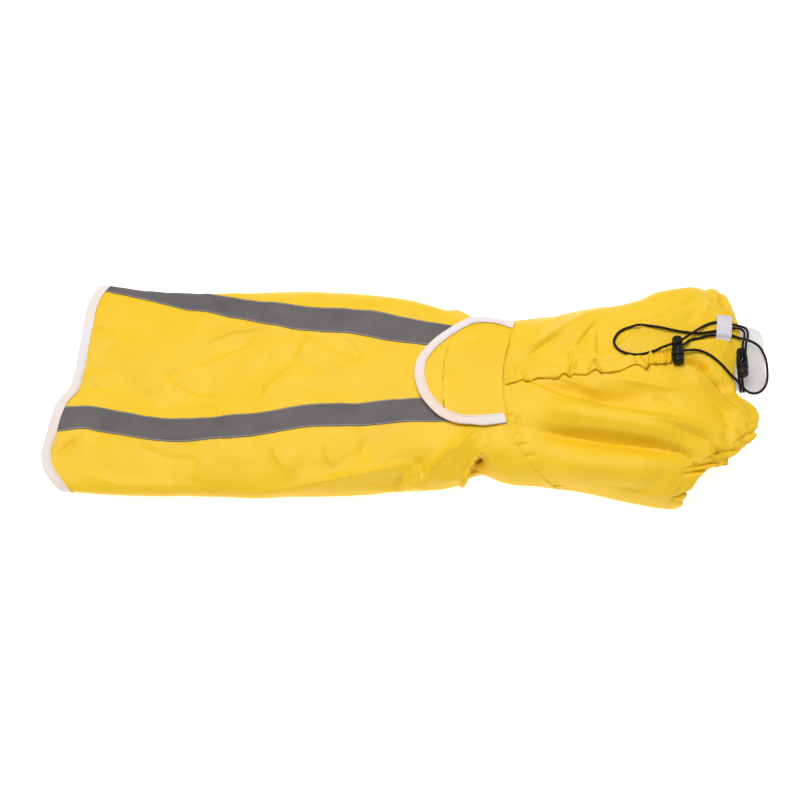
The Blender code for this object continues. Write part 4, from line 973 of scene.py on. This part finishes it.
def flap_trim(finish):
    line, inward = flap_line()
    odd = (len(line) - 1) // 2 * 2 + 1
    line, inward = line[:odd], inward[:odd]
    arc = reach_of(line)
    points, cuts = [], []
    for distance, lift in folded(1.2, 1.0)[::-1]:
        puff = 0.22 * noise(arc, distance, 15, 81) - 0.3 * bell((distance - HEM_STITCH) / 0.8)
        row = line + inward * distance
        height = FLAP_TRIM_LIFT + lift * 0.9 + (lift > 0) * puff
        points.append(on_flap(np.maximum(row[:, 0], 0), row[:, 1], height))
        cuts.append((distance * np.sign(lift),))
    return shell("flap_trim", np.array(points), 0.45, finish, (arc, np.array(cuts)), step=1)


def crown_tunnel(finish):
    """The casing along the crown: a strip of cloth over its cord, gathered on it in uneven folds."""
    x = np.linspace(CASING_EDGES["x"][0], CASING_EDGES["x"][-1], steps_of(160, 0.42))[:, None]
    turn = np.linspace(-0.62, math.pi + 0.62, 37)
    upper, lower = (smooth(x, CASING_EDGES["x"], CASING_EDGES[edge]) for edge in ("upper", "lower"))
    waves = ((-np.cos(turn), 0.45), (np.sin(turn), 0.6))
    side, rise = (np.sign(wave) * np.abs(wave) ** power for wave, power in waves)
    middle, half = (upper + lower) / 2, (upper - lower) / 2
    folds = np.zeros_like(middle * side)
    edges = np.zeros_like(folds)
    for at, height, width, lean, low, high in zip(*GATHERS.values()):
        reach = np.clip((side - low) / 0.5 + 0.5, 0, 1) * np.clip((high - side) / 0.5 + 0.5, 0, 1)
        spread = 0.55 + 0.45 * (side - low) / 2 if low > -1 else 1.0 - 0.22 * (1 + side)
        crest = (x - at - lean * side) / (width * spread)
        folds += height * reach * np.exp(-(np.abs(crest) ** 1.8))
        folds -= 0.3 * height * reach * bell((crest - 1.7) / 0.7)
        edges += 0.3 * height * bell((x - at + lean) / (1.4 * width)) * (low < 0)
    soft = 0.45 * noise(x, middle + 10 * side, 13, 91) + 0.12 * noise(x, middle + 8 * side, 5, 92)
    tunnel = np.where(rise < 0, 1.05, CASING_TUNNEL) * rise
    lift = 1.35 + tunnel + (folds + soft) * np.clip(1 + rise, 0, 1)
    lift = np.maximum(lift, 0.25)
    around = middle + half * side - edges * np.clip(-side, 0, 1) ** 3
    along = x + 0.1 * folds * rise
    outer = layer(along, round_at(along, around), lift, True)
    return shell("crown_tunnel", outer, 0.35, finish, (along, around), step=1)


def hem_gathers(around, share):
    """Depth, from 0 to about 1, of the gathers round the face, by distance from the crown."""
    random = np.random.default_rng(17)
    pinches = list(HEM_PINCHES)
    for at, last, widest, low, high, apart in MORE_PINCHES:
        while at < last:
            ranges = ((1.8, widest), (low, high), (-0.5, 0.5))
            pinches.append((at, *(random.uniform(*ends) for ends in ranges)))
            at += random.uniform(9, apart)
    across = (share - 0.5) * FACE_HEM
    return sum(
        depth * np.exp(-(np.abs((around - place - slant * across) / width) ** 1.4))
        for place, width, depth, slant in pinches
    )


def face_gathered(finish):
    """The elastic hem round the face, pinched in where it gathers and swelling between."""
    top = np.linspace(-1, 1, 521)[:-1]
    u = np.concatenate([top, np.linspace(1, 3, 289)[:-1]])
    u = u[: len(u) // 2 * 2]
    share = np.linspace(0, 1, 23)[:, None]
    start, end = face_seam(u) + 0.05, seam(FACE_EDGE, u)
    depth = smooth(np.where(u > 1, 3 - 2 * u, u), FACE_GATHERS["round"], FACE_GATHERS["depth"])
    under = side_length(HEM_X, 1.0) + (u - 1) / 2 * HEM_UNDER
    around = np.where(u > 1, under, u * side_length(HEM_X, u))
    gathers = hem_gathers(around, share)
    pull = np.clip(depth / 3, 0.05, 1) * (3.4 * gathers[-1] - 1.4)
    x = start + share * (end - pull * share - start)
    drawn = depth * (1.3 * gathers - 0.55 * (1 - np.clip(gathers, 0, 1))) * share**0.7
    drop = drawn + FACE_DRAW * share**1.4
    sewn = 0.5 * bell((share * FACE_HEM - 2.6) / 0.9) * np.clip(depth, 0.4, 1)
    lift = -drop - sewn - 1.3 * rising(share, 0.88, 1) ** 2
    points = coat(x, u, True)
    outer = points + facing(points, True) * lift[..., None]
    return shell("face_gathered", outer, 1.3, finish, (x, around), ring=True, step=2), x, u, lift


def visor_film(finish):
    u = np.linspace(*VISOR_ROUND, 61)
    around = u * side_length(VISOR_X[1], u)
    short = 0.0
    for radius, away in zip(VISOR_CORNERS, (around - around[0], around[-1] - around)):
        short = short + radius - np.sqrt(radius**2 - np.clip(radius - away, 0, None) ** 2)
    x = VISOR_X[0] + np.linspace(0, 1, 31)[:, None] * (VISOR_X[1] - short - VISOR_X[0])
    droop = VISOR_DROOP * rising(x, *VISOR_X) ** 2
    wave = 0.35 * noise(x, u * SIDE_ARC, 22, 95) * rising(x, VISOR_X[0] + 8, VISOR_X[0] + 22)
    lift = -CLOTH - FACE_DRAW - VISOR_GATHERS - GAP - 0.2 - droop + wave
    return shell("visor_film", layer(x, u, lift), 0.5, finish, (x, around))


def tab_ribbon(finish):
    """A loop of ribbon across the cords, sewn down at both ends."""
    around = np.linspace(TAB_ARCH["around"][0], TAB_ARCH["around"][-1], 61)
    lift = smooth(around, TAB_ARCH["around"], TAB_ARCH["lift"] + TAB)
    across = np.linspace(0, 1, 16)[:, None]
    width = TAB_X[1] - TAB_X[0]
    flare = 2.2 * rising(around, around[-1] - 5, around[-1]) ** 2
    x = TAB_X[0] + across * (width + flare) + TAB_SLANT * (around - around[0])
    cup = -0.2 * (2 * across - 1) ** 2 + 0.08 * noise(x, around, 12, 97)
    points = layer(x, round_at(x, around), lift + cup)
    return shell("tab_ribbon", points, 0.7, finish, (across * width, around))


def placed(made, lock, length, quarter_turns):
    """Lays a piece made along local z on the coat, with z = 0 at the lock's closed end."""
    x, around, lift = lock
    ends = np.array([around, around - length])
    place = np.array([x]), round_at(x, ends.mean())[None]
    along = unit(np.subtract(*coat(np.full(2, x), round_at(x, ends))))
    out = normals(*place)[0]
    out = unit(out - along * (out @ along))
    origin = layer(*place, np.array([lift]))[0] + along * length / 2
    axes = Matrix(np.stack([out, np.cross(along, out), along], axis=-1).tolist())
    turn = Matrix.Rotation(quarter_turns * math.pi / 2, 3, "Z")
    made.matrix_world = Matrix.LocRotScale(Vector(origin * MM), (axes @ turn).to_quaternion(), None)


def turned(name, profile_points, finish, sides=56):
    """A moulded piece turned round local z from (radius, z) points, with its corners rounded."""
    corners = np.array(profile_points, float)
    path = [corners[0]]
    for before, corner, after in zip(corners, corners[1:], corners[2:]):
        back, on = before - corner, after - corner
        size = min(0.55, 0.4 * np.linalg.norm(back), 0.4 * np.linalg.norm(on))
        a, b = corner + unit(back) * size, corner + unit(on) * size
        path += [(1 - t) ** 2 * a + 2 * t * (1 - t) * corner + t * t * b for t in (0, 0.33, 0.67, 1)]
    path.append(corners[-1])
    shape = bmesh.new()
    rings = []
    for radius, z in path:
        if radius < 1e-6:
            rings.append([shape.verts.new((0, 0, z * MM))])
            continue
        angles = (2 * math.pi * side / sides for side in range(sides))
        ring = ((radius * MM * math.cos(a), radius * MM * math.sin(a), z * MM) for a in angles)
        rings.append([shape.verts.new(point) for point in ring])
    for upper, lower in zip(rings, rings[1:]):
        for side in range(sides):
            pairs = ((upper, 0), (lower, 0), (lower, 1), (upper, 1))
            shape.faces.new(dict.fromkeys(ring[(side + k) % len(ring)] for ring, k in pairs))
    return from_bmesh(name, shape, finish, 50)


def slot_cutter(name):
    """A bar with rounded ends, through the barrel along local x."""
    shape = bmesh.new()
    radius, sides = SLOT_WIDTH / 2, 32
    reach = SLOT_LENGTH / 2 - radius
    rim = []
    for step in range(sides):
        angle = 2 * math.pi * (step + 0.5) / sides
        end = reach if math.cos(angle) > 0 else -reach
        rim.append((radius * math.sin(angle), radius * math.cos(angle) + end - SLOT_FROM_END))
    rings = [[shape.verts.new((x * MM, y * MM, z * MM)) for y, z in rim] for x in (-12, 12)]
    shape.faces.new(rings[0])
    shape.faces.new(rings[1][::-1])
    for step in range(sides):
        following = (step + 1) % sides
        shape.faces.new((rings[0][following], rings[0][step], rings[1][step], rings[1][following]))
    bmesh.ops.recalc_face_normals(shape, faces=shape.faces)
    return from_bmesh(name, shape)


def cord_lock(name, lock, quarter_turns, finish):
    """A barrel cord lock: the barrel, with its slot and grip rings, and the button in its mouth."""
    length = BARREL_LENGTH + BUTTON_LENGTH
    depth = BARREL_LENGTH - BUTTON_DEPTH - GAP
    grips = [
        (BARREL - 0.8 - drop, -z)
        for z0 in (3.2, 4.4)
        for drop, z in ((0, z0), (0.25, z0 + 0.2), (0.25, z0 + 0.7), (0, z0 + 0.9))
    ]
    barrel = turned(
        f"{name}_body",
        (
            *((0, 0), (BARREL - 2.6, 0), (BARREL - 1.5, -0.6), (BARREL - 1.0, -1.8)),
            *grips,
            *((BARREL - 0.2, -BARREL_LENGTH / 2), (BARREL, -BARREL_LENGTH + 0.9)),
            *((BARREL - 0.4, -BARREL_LENGTH), (BUTTON + GAP, -BARREL_LENGTH)),
            *((BUTTON + GAP, -depth), (0, -depth)),
        ),
        finish,
    )
    button = turned(
        f"{name}_push",
        (
            *((0, -BARREL_LENGTH + BUTTON_DEPTH), (BUTTON, -BARREL_LENGTH + BUTTON_DEPTH)),
            *((BUTTON, -BARREL_LENGTH - 0.6), (BARREL - 0.7, -BARREL_LENGTH - 0.8)),
            *((BARREL - 0.3, -BARREL_LENGTH - 1.4), (BARREL - 0.3, -length + 2.4)),
            *((BARREL - 0.8, -length + 1.0), (BARREL - 1.9, -length + 0.2)),
            *((BARREL - 3.0, -length), (0, -length)),
        ),
        finish,
    )
    slot = slot_cutter(f"{name}_slot")
    cut_away(barrel, slot)
    for made in (barrel, button):
        placed(made, lock, length, quarter_turns)
    return barrel, button


CORD_EASE = 9  # points over which a cord rides up to a fold
BRAID_PITCH = 3.4  # length of cord for one turn of its braid


def cord_points(route):
    """Points along the middle of a cord, at an even pitch. It lies on the cloth's folds."""
    knots = np.stack([route["x"], route["around"], route["lift"]], axis=-1)
    x, around, lift = spline(knots).T
    u = round_at(x, around)
    bumps = np.where(x < seam(FACE_EDGE, u), detail(x, u), 0.0)
    soft = np.hanning(2 * CORD_EASE + 1)
    held = np.pad(bumps, CORD_EASE, mode="edge")
    held = np.max([held[k : k + len(bumps)] for k in range(0, 2 * CORD_EASE + 1, CORD_EASE)], axis=0)
    held = np.convolve(np.pad(held, CORD_EASE, mode="edge"), soft / soft.sum(), mode="valid")
    held *= rising(lift, 6, 3)
    return even(layer(x, round_at(x, around), lift + np.clip(held, -1.6, 5.0)), 0.62)


def braided(name, points, finish, sides=18):
    """A round elastic cord with a braided cover, its ends rounded off."""
    run = unit(np.gradient(points, axis=0))
    side = np.zeros_like(run)
    side[0] = unit(np.cross(run[0], (0.3, 0.2, 1.0)))
    for k in range(1, len(run)):
        side[k] = unit(side[k - 1] - run[k] * (side[k - 1] @ run[k]))
    up = np.cross(run, side)
    angle = np.linspace(0, 2 * math.pi, sides, endpoint=False)
    reach = reach_of(points)
    turn = 2 * math.pi * reach[:, None] / BRAID_PITCH
    braid = np.abs(np.sin(3 * angle + turn)) * np.abs(np.sin(3 * angle - turn))
    end = np.clip(np.minimum(reach, reach[-1] - reach) / 1.0, 0.02, 1)[:, None]
    radius = (CORD / 2 - 0.09 + 0.16 * braid) * np.sqrt(1 - (1 - end) ** 2)
    ring = points[:, None] + radius[..., None] * (
        np.cos(angle)[None, :, None] * side[:, None] + np.sin(angle)[None, :, None] * up[:, None]
    )
    last = len(points) - 1
    faces = squares(lambda i, j: i * sides + j % sides, last, sides, order=FLIPPED)
    faces += [list(range(sides))[::-1], [last * sides + k for k in range(sides)]]
    cut = np.stack(np.broadcast_arrays(reach[:, None], angle * CORD / 2, 0.0), axis=-1)
    return add(name, ring.reshape(-1, 3), faces, finish, cut.reshape(-1, 3))


def stitched(name, lines, finish, pitch=2.9, length=2.1, radius=0.24):
    """A run of stitches along each line of points, given with the directions up from the cloth."""
    points, faces = [], []
    across_turn = np.linspace(0, 2 * math.pi, 5, endpoint=False)
    for line, up in lines:
        both = even(line, pitch / 2)
        reach = reach_of(line)
        at = np.linspace(0, reach[-1], len(both))
        ups = np.stack([np.interp(at, reach, column) for column in up.T], axis=-1)
        for k in range(1, len(both) - 1, 2):
            along = unit(both[k + 1] - both[k - 1])
            out = unit(ups[k])
            side = np.cross(out, along)
            base = len(points)
            for share, size, sink in ((-0.5, 0.45, 0.16), (-0.3, 1, 0), (0.3, 1, 0), (0.5, 0.45, 0.16)):
                middle = both[k] + along * share * length - out * sink
                for a in across_turn:
                    points.append(middle + radius * size * (math.cos(a) * side + math.sin(a) * out))
            for ring in range(3):
                for s in range(5):
                    a, b = base + ring * 5 + s, base + ring * 5 + (s + 1) % 5
                    faces.append((a, a + 5, b + 5, b))
            faces += [tuple(base + s for s in range(5)), tuple(base + 15 + s for s in range(4, -1, -1))]
    points = np.array(points)
    points[:, 2] = np.maximum(points[:, 2], 0.05)
    return add(name, points, faces, finish, points + MIDDLE_X, sharp=80)


def on_cloth(x, u, lift):
    """A line of points above the finished cloth, with the directions up from it."""
    out = normals(x, u, True)
    return coat(x, u, True) + out * np.asarray(lift)[..., None], out


# Materials


class Nodes:
    """A material's node tree, with short calls for the nodes used here."""

    def __init__(self, name, color, **sockets):
        self.material = bpy.data.materials.new(name)
        self.material.use_nodes = True
        self.tree = self.material.node_tree
        self.shader = self.tree.nodes["Principled BSDF"]
        self.shader.inputs["Base Color"].default_value = (*color, 1.0)
        self.material.diffuse_color = (*color, 1.0)
        for socket, value in sockets.items():
            self.shader.inputs[socket.replace("_", " ")].default_value = value

    def node(self, kind, **settings):
        made = self.tree.nodes.new(kind)
        for name, value in settings.items():
            if name in made.inputs:
                made.inputs[name].default_value = value
            else:
                setattr(made, name, value)
        return made

    def link(self, source, target):
        self.tree.links.new(source, target)

    def cut(self, stretch=(1.0, 1.0, 1.0)):
        """The place on the flat cloth, in metres along and across it."""
        place = self.node("ShaderNodeAttribute", attribute_name="cut")
        mapping = self.node("ShaderNodeMapping", Scale=stretch)
        self.link(place.outputs["Vector"], mapping.inputs["Vector"])
        return mapping.outputs["Vector"]

    def noise(self, vector, scale, detail=2.0, roughness=0.5):
        made = self.node("ShaderNodeTexNoise", Scale=scale, Detail=detail, Roughness=roughness)
        self.link(vector, made.inputs["Vector"])
        return made.outputs["Fac"]

    def waves(self, vector, per_metre, direction, distortion=0.0):
        made = self.node("ShaderNodeTexWave", bands_direction=direction, Distortion=distortion)
        made.inputs["Scale"].default_value = per_metre * 2 * math.pi / 20
        made.inputs["Detail"].default_value = 1.0
        self.link(vector, made.inputs["Vector"])
        return made.outputs["Fac"]

    def math(self, operation, a, b):
        made = self.node("ShaderNodeMath", operation=operation)
        for socket, value in zip(made.inputs, (a, b)):
            if isinstance(value, (int, float)):
                socket.default_value = value
            else:
                self.link(value, socket)
        return made.outputs["Value"]

    def ramp(self, factor, *stops):
        made = self.node("ShaderNodeValToRGB")
        ramp = made.color_ramp
        for stop in stops[2:]:
            ramp.elements.new(stop[0])
        for element, (place, color) in zip(ramp.elements, stops):
            element.position = place
            element.color = (*color, 1.0)
        self.link(factor, made.inputs["Fac"])
        return made.outputs["Color"]

    def spread(self, factor, low, high):
        made = self.node("ShaderNodeMapRange")
        made.inputs["To Min"].default_value = low
        made.inputs["To Max"].default_value = high
        self.link(factor, made.inputs["Value"])
        return made.outputs["Result"]

    def tint(self, place, noise, *stops):
        """Colours the piece by noise: each stop is its place on the ramp and its colour."""
        ramp = self.ramp(self.noise(place, *noise), *stops)
        self.link(ramp, self.shader.inputs["Base Color"])

    def roughness(self, place, noise, low, high):
        rough = self.spread(self.noise(place, *noise), low, high)
        self.link(rough, self.shader.inputs["Roughness"])

    def bump(self, *heights):
        """Bumps one over the other, each with its distance in metres and strength."""
        last = None
        for height, distance, strength in heights:
            made = self.node("ShaderNodeBump", Distance=distance, Strength=strength)
            self.link(height, made.inputs["Height"])
            if last:
                self.link(last, made.inputs["Normal"])
            last = made.outputs["Normal"]
        self.link(last, self.shader.inputs["Normal"])


def yellow_cloth():
    """Coated plain-weave polyester, with the faint cloudiness of its coating."""
    made = Nodes("yellow_cloth_fine", (0.8, 0.506, 0.013), Specular_IOR_Level=0.3)
    place = made.cut()
    pale, middle, deep = (0.78, 0.487, 0.01), (0.8, 0.506, 0.013), (0.82, 0.525, 0.017)
    made.tint(place, (22.0, 3.0, 0.55), (0.3, pale), (0.5, middle), (0.72, deep))
    made.roughness(place, (60.0, 2.0), 0.44, 0.56)
    warp, weft = (made.waves(place, 1600.0, direction, 0.6) for direction in "XY")
    weave = made.math("MULTIPLY", warp, weft)
    made.bump((made.noise(place, 330.0, 4.0, 0.6), 0.0004, 0.22), (weave, 0.00012, 0.35))
    return made.material


def reflective_tape():
    """Grey reflective fabric: a fine bead grain over a faint cross weave."""
    made = Nodes("reflective_tape_fine", (0.12, 0.108, 0.106), Metallic=0.15, Specular_IOR_Level=0.35)
    place = made.cut()
    dark, middle, pale = (0.105, 0.095, 0.093), (0.117, 0.106, 0.104), (0.13, 0.118, 0.116)
    made.tint(place, (35.0, 3.0), (0.3, dark), (0.55, middle), (0.8, pale))
    made.roughness(place, (90.0, 2.0), 0.6, 0.72)
    weave = made.waves(place, 1100.0, "X", 0.4)
    made.bump((made.noise(place, 2600.0, 1.0), 0.0001, 0.3), (weave, 0.00008, 0.25))
    return made.material


def woven_binding():
    """Ribbed binding tape, whiter in places and a warm pinkish white in others."""
    made = Nodes("white_binding_fine", (0.78, 0.68, 0.63), Specular_IOR_Level=0.3, Sheen_Weight=0.2)
    place = made.cut()
    white, middle, warm = (0.74, 0.73, 0.77), (0.79, 0.69, 0.64), (0.83, 0.66, 0.55)
    made.tint(made.cut((1.0, 0.25, 1.0)), (9.0, 2.0, 0.4), (0.36, white), (0.5, middle), (0.66, warm))
    made.roughness(place, (140.0, 2.0), 0.6, 0.78)
    ribs = made.waves(place, 1500.0, "X", 0.5)
    made.bump((made.noise(place, 700.0, 3.0), 0.0003, 0.3), (ribs, 0.0002, 0.5))
    return made.material


def ribbon():
    """Grosgrain ribbon, ribbed across."""
    made = Nodes("white_ribbon_fine", (0.66, 0.64, 0.7), Specular_IOR_Level=0.35, Sheen_Weight=0.15)
    place = made.cut()
    made.tint(place, (120.0, 2.0), (0.3, (0.62, 0.6, 0.66)), (0.7, (0.69, 0.67, 0.73)))
    made.roughness(place, (200.0, 2.0), 0.5, 0.66)
    ribs = made.waves(place, 1250.0, "Y", 0.3)
    made.bump((made.noise(place, 900.0, 2.0), 0.0002, 0.25), (ribs, 0.00025, 0.7))
    return made.material


def clear_film():
    """Soft clear film, a little hazy and rippled."""
    made = Nodes("clear_visor_fine", (0.62, 0.6, 0.585), Coat_Weight=0.4, Coat_Roughness=0.12)
    made.material.surface_render_method = "DITHERED"
    place = made.cut()
    made.tint(place, (45.0, 3.0), (0.3, (0.57, 0.55, 0.535)), (0.7, (0.67, 0.65, 0.64)))
    made.roughness(place, (80.0, 2.0), 0.12, 0.3)
    made.link(made.spread(made.noise(place, 30.0, 2.0), 0.5, 0.66), made.shader.inputs["Alpha"])
    made.bump((made.noise(place, 70.0, 2.0), 0.0012, 0.25))
    return made.material


def braided_cover():
    made = Nodes("black_cord_fine", (0.006, 0.005, 0.004), Specular_IOR_Level=0.2)
    place = made.cut()
    made.tint(place, (500.0, 2.0), (0.3, (0.004, 0.0035, 0.003)), (0.7, (0.009, 0.008, 0.007)))
    made.roughness(place, (900.0, 2.0), 0.55, 0.8)
    made.bump((made.noise(place, 2400.0, 2.0), 0.0002, 0.5))
    return made.material


def moulded_black():
    """Moulded black plastic with a fine spark-eroded grain, rubbed smoother in places."""
    made = Nodes("black_plastic_fine", (0.006, 0.005, 0.006), Specular_IOR_Level=0.22)
    place = made.node("ShaderNodeTexCoord").outputs["Object"]
    made.tint(place, (160.0, 2.0), (0.35, (0.004, 0.004, 0.004)), (0.7, (0.009, 0.009, 0.008)))
    made.roughness(place, (220.0, 3.0), 0.3, 0.48)
    made.bump((made.noise(place, 3200.0, 2.0), 0.0001, 0.35))
    return made.material


def thread(name, color):
    made = Nodes(name, color, Specular_IOR_Level=0.35, Sheen_Weight=0.2)
    place = made.cut()
    made.tint(place, (400.0, 2.0), (0.3, tuple(0.86 * value for value in color)), (0.7, color))
    made.roughness(place, (700.0, 2.0), 0.5, 0.7)
    made.bump((made.waves(place, 2600.0, "DIAGONAL", 0.2), 0.0001, 0.5))
    return made.material


WORLD_STRENGTH = 0.5
KEY_PLACE, KEY_SIZE, KEY_POWER = (-0.2, 0.36, 2.25), 1.2, 39.5
TABLE_GLOW = 0.72  # the table gives off light, so that next to no shadow shows on it


def studio():
    """A camera above and before the coat's right side, a pale table and soft light from above."""
    camera = linked("camera", bpy.data.cameras.new("camera"))
    camera.data.lens = 135
    camera.data.sensor_width = 36
    camera.location = (-2.75 * MM, -1.5, 2.598)
    camera.rotation_euler = (math.radians(30), 0, 0)
    bpy.context.scene.camera = camera

    world = bpy.data.worlds.new("studio")
    world.use_nodes = True
    background = world.node_tree.nodes["Background"]
    background.inputs["Color"].default_value = (1.0, 1.0, 1.0, 1.0)
    background.inputs["Strength"].default_value = WORLD_STRENGTH
    bpy.context.scene.world = world
    light = bpy.data.lights.new("key", "AREA")
    light.shape = "SQUARE"
    light.size = KEY_SIZE
    light.energy = KEY_POWER
    key = linked("key", light)
    key.location = KEY_PLACE
    key.rotation_euler = (-Vector(KEY_PLACE)).to_track_quat("-Z", "Y").to_euler()
    bpy.context.scene.view_settings.view_transform = "Standard"

    bpy.ops.mesh.primitive_plane_add(size=6)
    table_top = bpy.context.object
    table_top.name = "table"
    glow = {"Emission_Color": (1.0, 1.0, 1.0, 1.0), "Emission_Strength": TABLE_GLOW}
    pale = Nodes("pale_table", (0.9, 0.9, 0.9), **glow)
    place = pale.node("ShaderNodeTexCoord").outputs["Object"]
    pale.tint(place, (3.0,), (0.3, (0.9, 0.9, 0.9)), (0.7, (0.92, 0.92, 0.92)))
    pale.roughness(place, (40.0,), 0.75, 0.85)
    table_top.data.materials.append(pale.material)


# Each sheet with its nodes and slot, its cut in metres, how it is held, its flat area where the cut
# isn't a rectangle, and the hems and stitching on it
SHEETS = (
    ("back_cloth", "back_panel", "yellow_cloth", (0.32, 0.49), "draped", 0.138, "neck_stitches"),
    ("belly_cloth", "belly_panel", "yellow_cloth", (0.235, 0.5), "laid", 0.085,
     "leg_hem_right leg_hem_left"),
    ("hood_cloth", "hood_right hood_left", "yellow_cloth", (0.31, 0.245), "gathered", 0.061, ""),
    ("throat_cloth", "throat_panel", "yellow_cloth", (0.23, 0.16), "laid", 0.031, ""),
    ("face_gathered", "face_hem", "yellow_cloth", (0.53, 0.013), "gathered", None, "hem_stitches"),
    ("crown_tunnel", "crown_casing", "yellow_cloth", (0.175, 0.023), "gathered", None, ""),
    ("flap_cloth", "leash_flap", "yellow_cloth", (0.13, 0.088), "draped", 0.0095, ""),
    ("flap_trim", "flap_binding", "white_binding", (0.28, 0.021), "folded", None, "flap_stitches"),
    ("tail_trim", "tail_binding", "white_binding", (0.56, 0.022), "folded", None, "tail_stitches"),
    ("tape_right_strip", "tape_right", "reflective_tape", (0.026, 0.42), "laid", None, "tape_stitches"),
    ("tape_left_strip", "tape_left", "reflective_tape", (0.026, 0.42), "laid", None, ""),
    ("visor_film", "visor", "clear_visor", (0.076, 0.031), "stretched", None, ""),
    ("tab_ribbon", "keeper_tab", "white_ribbon", (0.015, 0.034), "stretched", None, "tab_stitches"),
)
# Hems and stitching with their slots
TRIMS = (
    ("leg_hem_right", "yellow_cloth"),
    ("leg_hem_left", "yellow_cloth"),
    ("neck_stitches", "yellow_cloth"),
    ("hem_stitches", "yellow_cloth"),
    ("tape_stitches", "white_ribbon"),
    ("flap_stitches", "white_binding"),
    ("tail_stitches", "white_binding"),
    ("tab_stitches", "white_ribbon"),
)


def show(piece, nodes):
    """Dresses one node of the frame, or several, in a finished piece."""
    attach(piece, "root")
    if nodes:
        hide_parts(*nodes.split())


def cords():
    """The two elastic cords, with their middle lines and the lock on each."""
    black, plastic = braided_cover(), moulded_black()
    elastics, locks = [], []
    for name, route in (("brim", BRIM_ROUTE), ("casing", CASING_ROUTE)):
        line = cord_points(route)
        elastics.append((braided(f"{name}_elastic", line, black), line))
        show(elastics[-1][0], f"{name}_cord")
    for name, place, quarter_turns in (("crown_lock", CROWN_LOCK, 1), ("brim_lock", BRIM_LOCK, 0)):
        locks.append(cord_lock(name, place, quarter_turns, plastic))
        for piece, part in zip(locks[-1], ("barrel", "button")):
            show(piece, f"{name}_{part}")
    return [(*elastic, list(lock)) for elastic, lock in zip(elastics, locks[::-1])]


HEM_STITCH_ROWS = (2, 6)  # of the hem's points
TAPE_STITCH_COLUMNS = (1, -2)  # of the tapes' points
TAB_STITCHES_AT = (32.0, 60.6)  # distances round from the crown


def stitching(hem, right, left):
    """The stitches along the seams, the hem, the tapes, the bindings and the ribbon."""
    yellow = thread("yellow_thread", (0.88, 0.5, 0.03))
    pale = thread("pale_thread", (0.78, 0.7, 0.68))
    sides = np.linspace(-1, 1, 401)
    made = [stitched("neck_stitches", [on_cloth(seam(NECK_SEAM, sides) - 2.3, sides, 0.12)], yellow)]
    lines = []
    for row in HEM_STITCH_ROWS:
        x, u, lift = (values[row] if values.ndim > 1 else values for values in hem)
        top = u <= 1
        lines.append(on_cloth(x[top], u[top], lift[top] + 0.15))
    made.append(stitched("hem_stitches", lines, yellow))
    lines = [on_cloth(x[:, k], u[:, k], 0.82) for x, u in (right, left) for k in TAPE_STITCH_COLUMNS]
    made.append(stitched("tape_stitches", lines, pale))

    line, inward = flap_line()
    row = line + inward * 8.4
    row = row[row[:, 0] > 3]
    points = on_flap(*row.T, FLAP_TRIM_LIFT + 0.95)
    up = np.tile((0.0, 0.0, 1.0), (len(row), 1))
    made.append(stitched("flap_stitches", [(points, up)], pale))
    u = np.linspace(-0.99, 0.99, 300)
    x = seam(TAIL_EDGE, u) + inset(TAIL_EDGE, u, BINDING) * 0.84
    out = normals(x, u)
    line = coat(x, u) + out * (FOLD_GAP + TRIM + 0.05)
    made.append(stitched("tail_stitches", [(line, out)], pale))
    lines = []
    for around in TAB_STITCHES_AT:
        across = np.linspace(1.5, TAB_X[1] - TAB_X[0] - 1.5, 12)
        x = TAB_X[0] + across + TAB_SLANT * (around - TAB_ARCH["around"][0])
        out = normals(x, round_at(x, around))
        lines.append((coat(x, round_at(x, around)) + out * 1.45, out))
    made.append(stitched("tab_stitches", lines, pale, 2.2, 1.6, 0.2))
    return made


def main():
    studio()
    elastics = cords()
    yellow, binding, grey = yellow_cloth(), woven_binding(), reflective_tape()
    made = [back_cloth(yellow), belly_cloth(yellow), hood_cloth(yellow), throat_cloth(yellow)]
    hem, *hem_places = face_gathered(yellow)
    made += [hem, crown_tunnel(yellow), flap_cloth(yellow), flap_trim(binding), tail_trim(binding)]
    tape_right, *right = tape_strip("tape_right_strip", TAPE_RIGHT, grey)
    tape_left, *left = tape_strip("tape_left_strip", TAPE_LEFT, grey)
    made += [tape_right, tape_left, visor_film(clear_film()), tab_ribbon(ribbon()), *leg_hems(yellow)]
    made += stitching(hem_places, right, left)
    made = {piece.name: piece for piece in made}

    for name, nodes, slot, *_ in SHEETS:
        show(made[name], nodes)
    for name, slot in TRIMS:
        show(made[name], "")
    for cord, line, pieces in elastics:
        path = [tuple(point * MM) for point in line]
        exit_point = tuple(float(value) for value in path[0])
        float(reach_of(line)[-1]) * MM
        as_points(path)
        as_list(pieces)
    for name, _, _, flat, held, area, on_it in SHEETS:
        on_it = [made[piece] for piece in on_it.split()]


main()
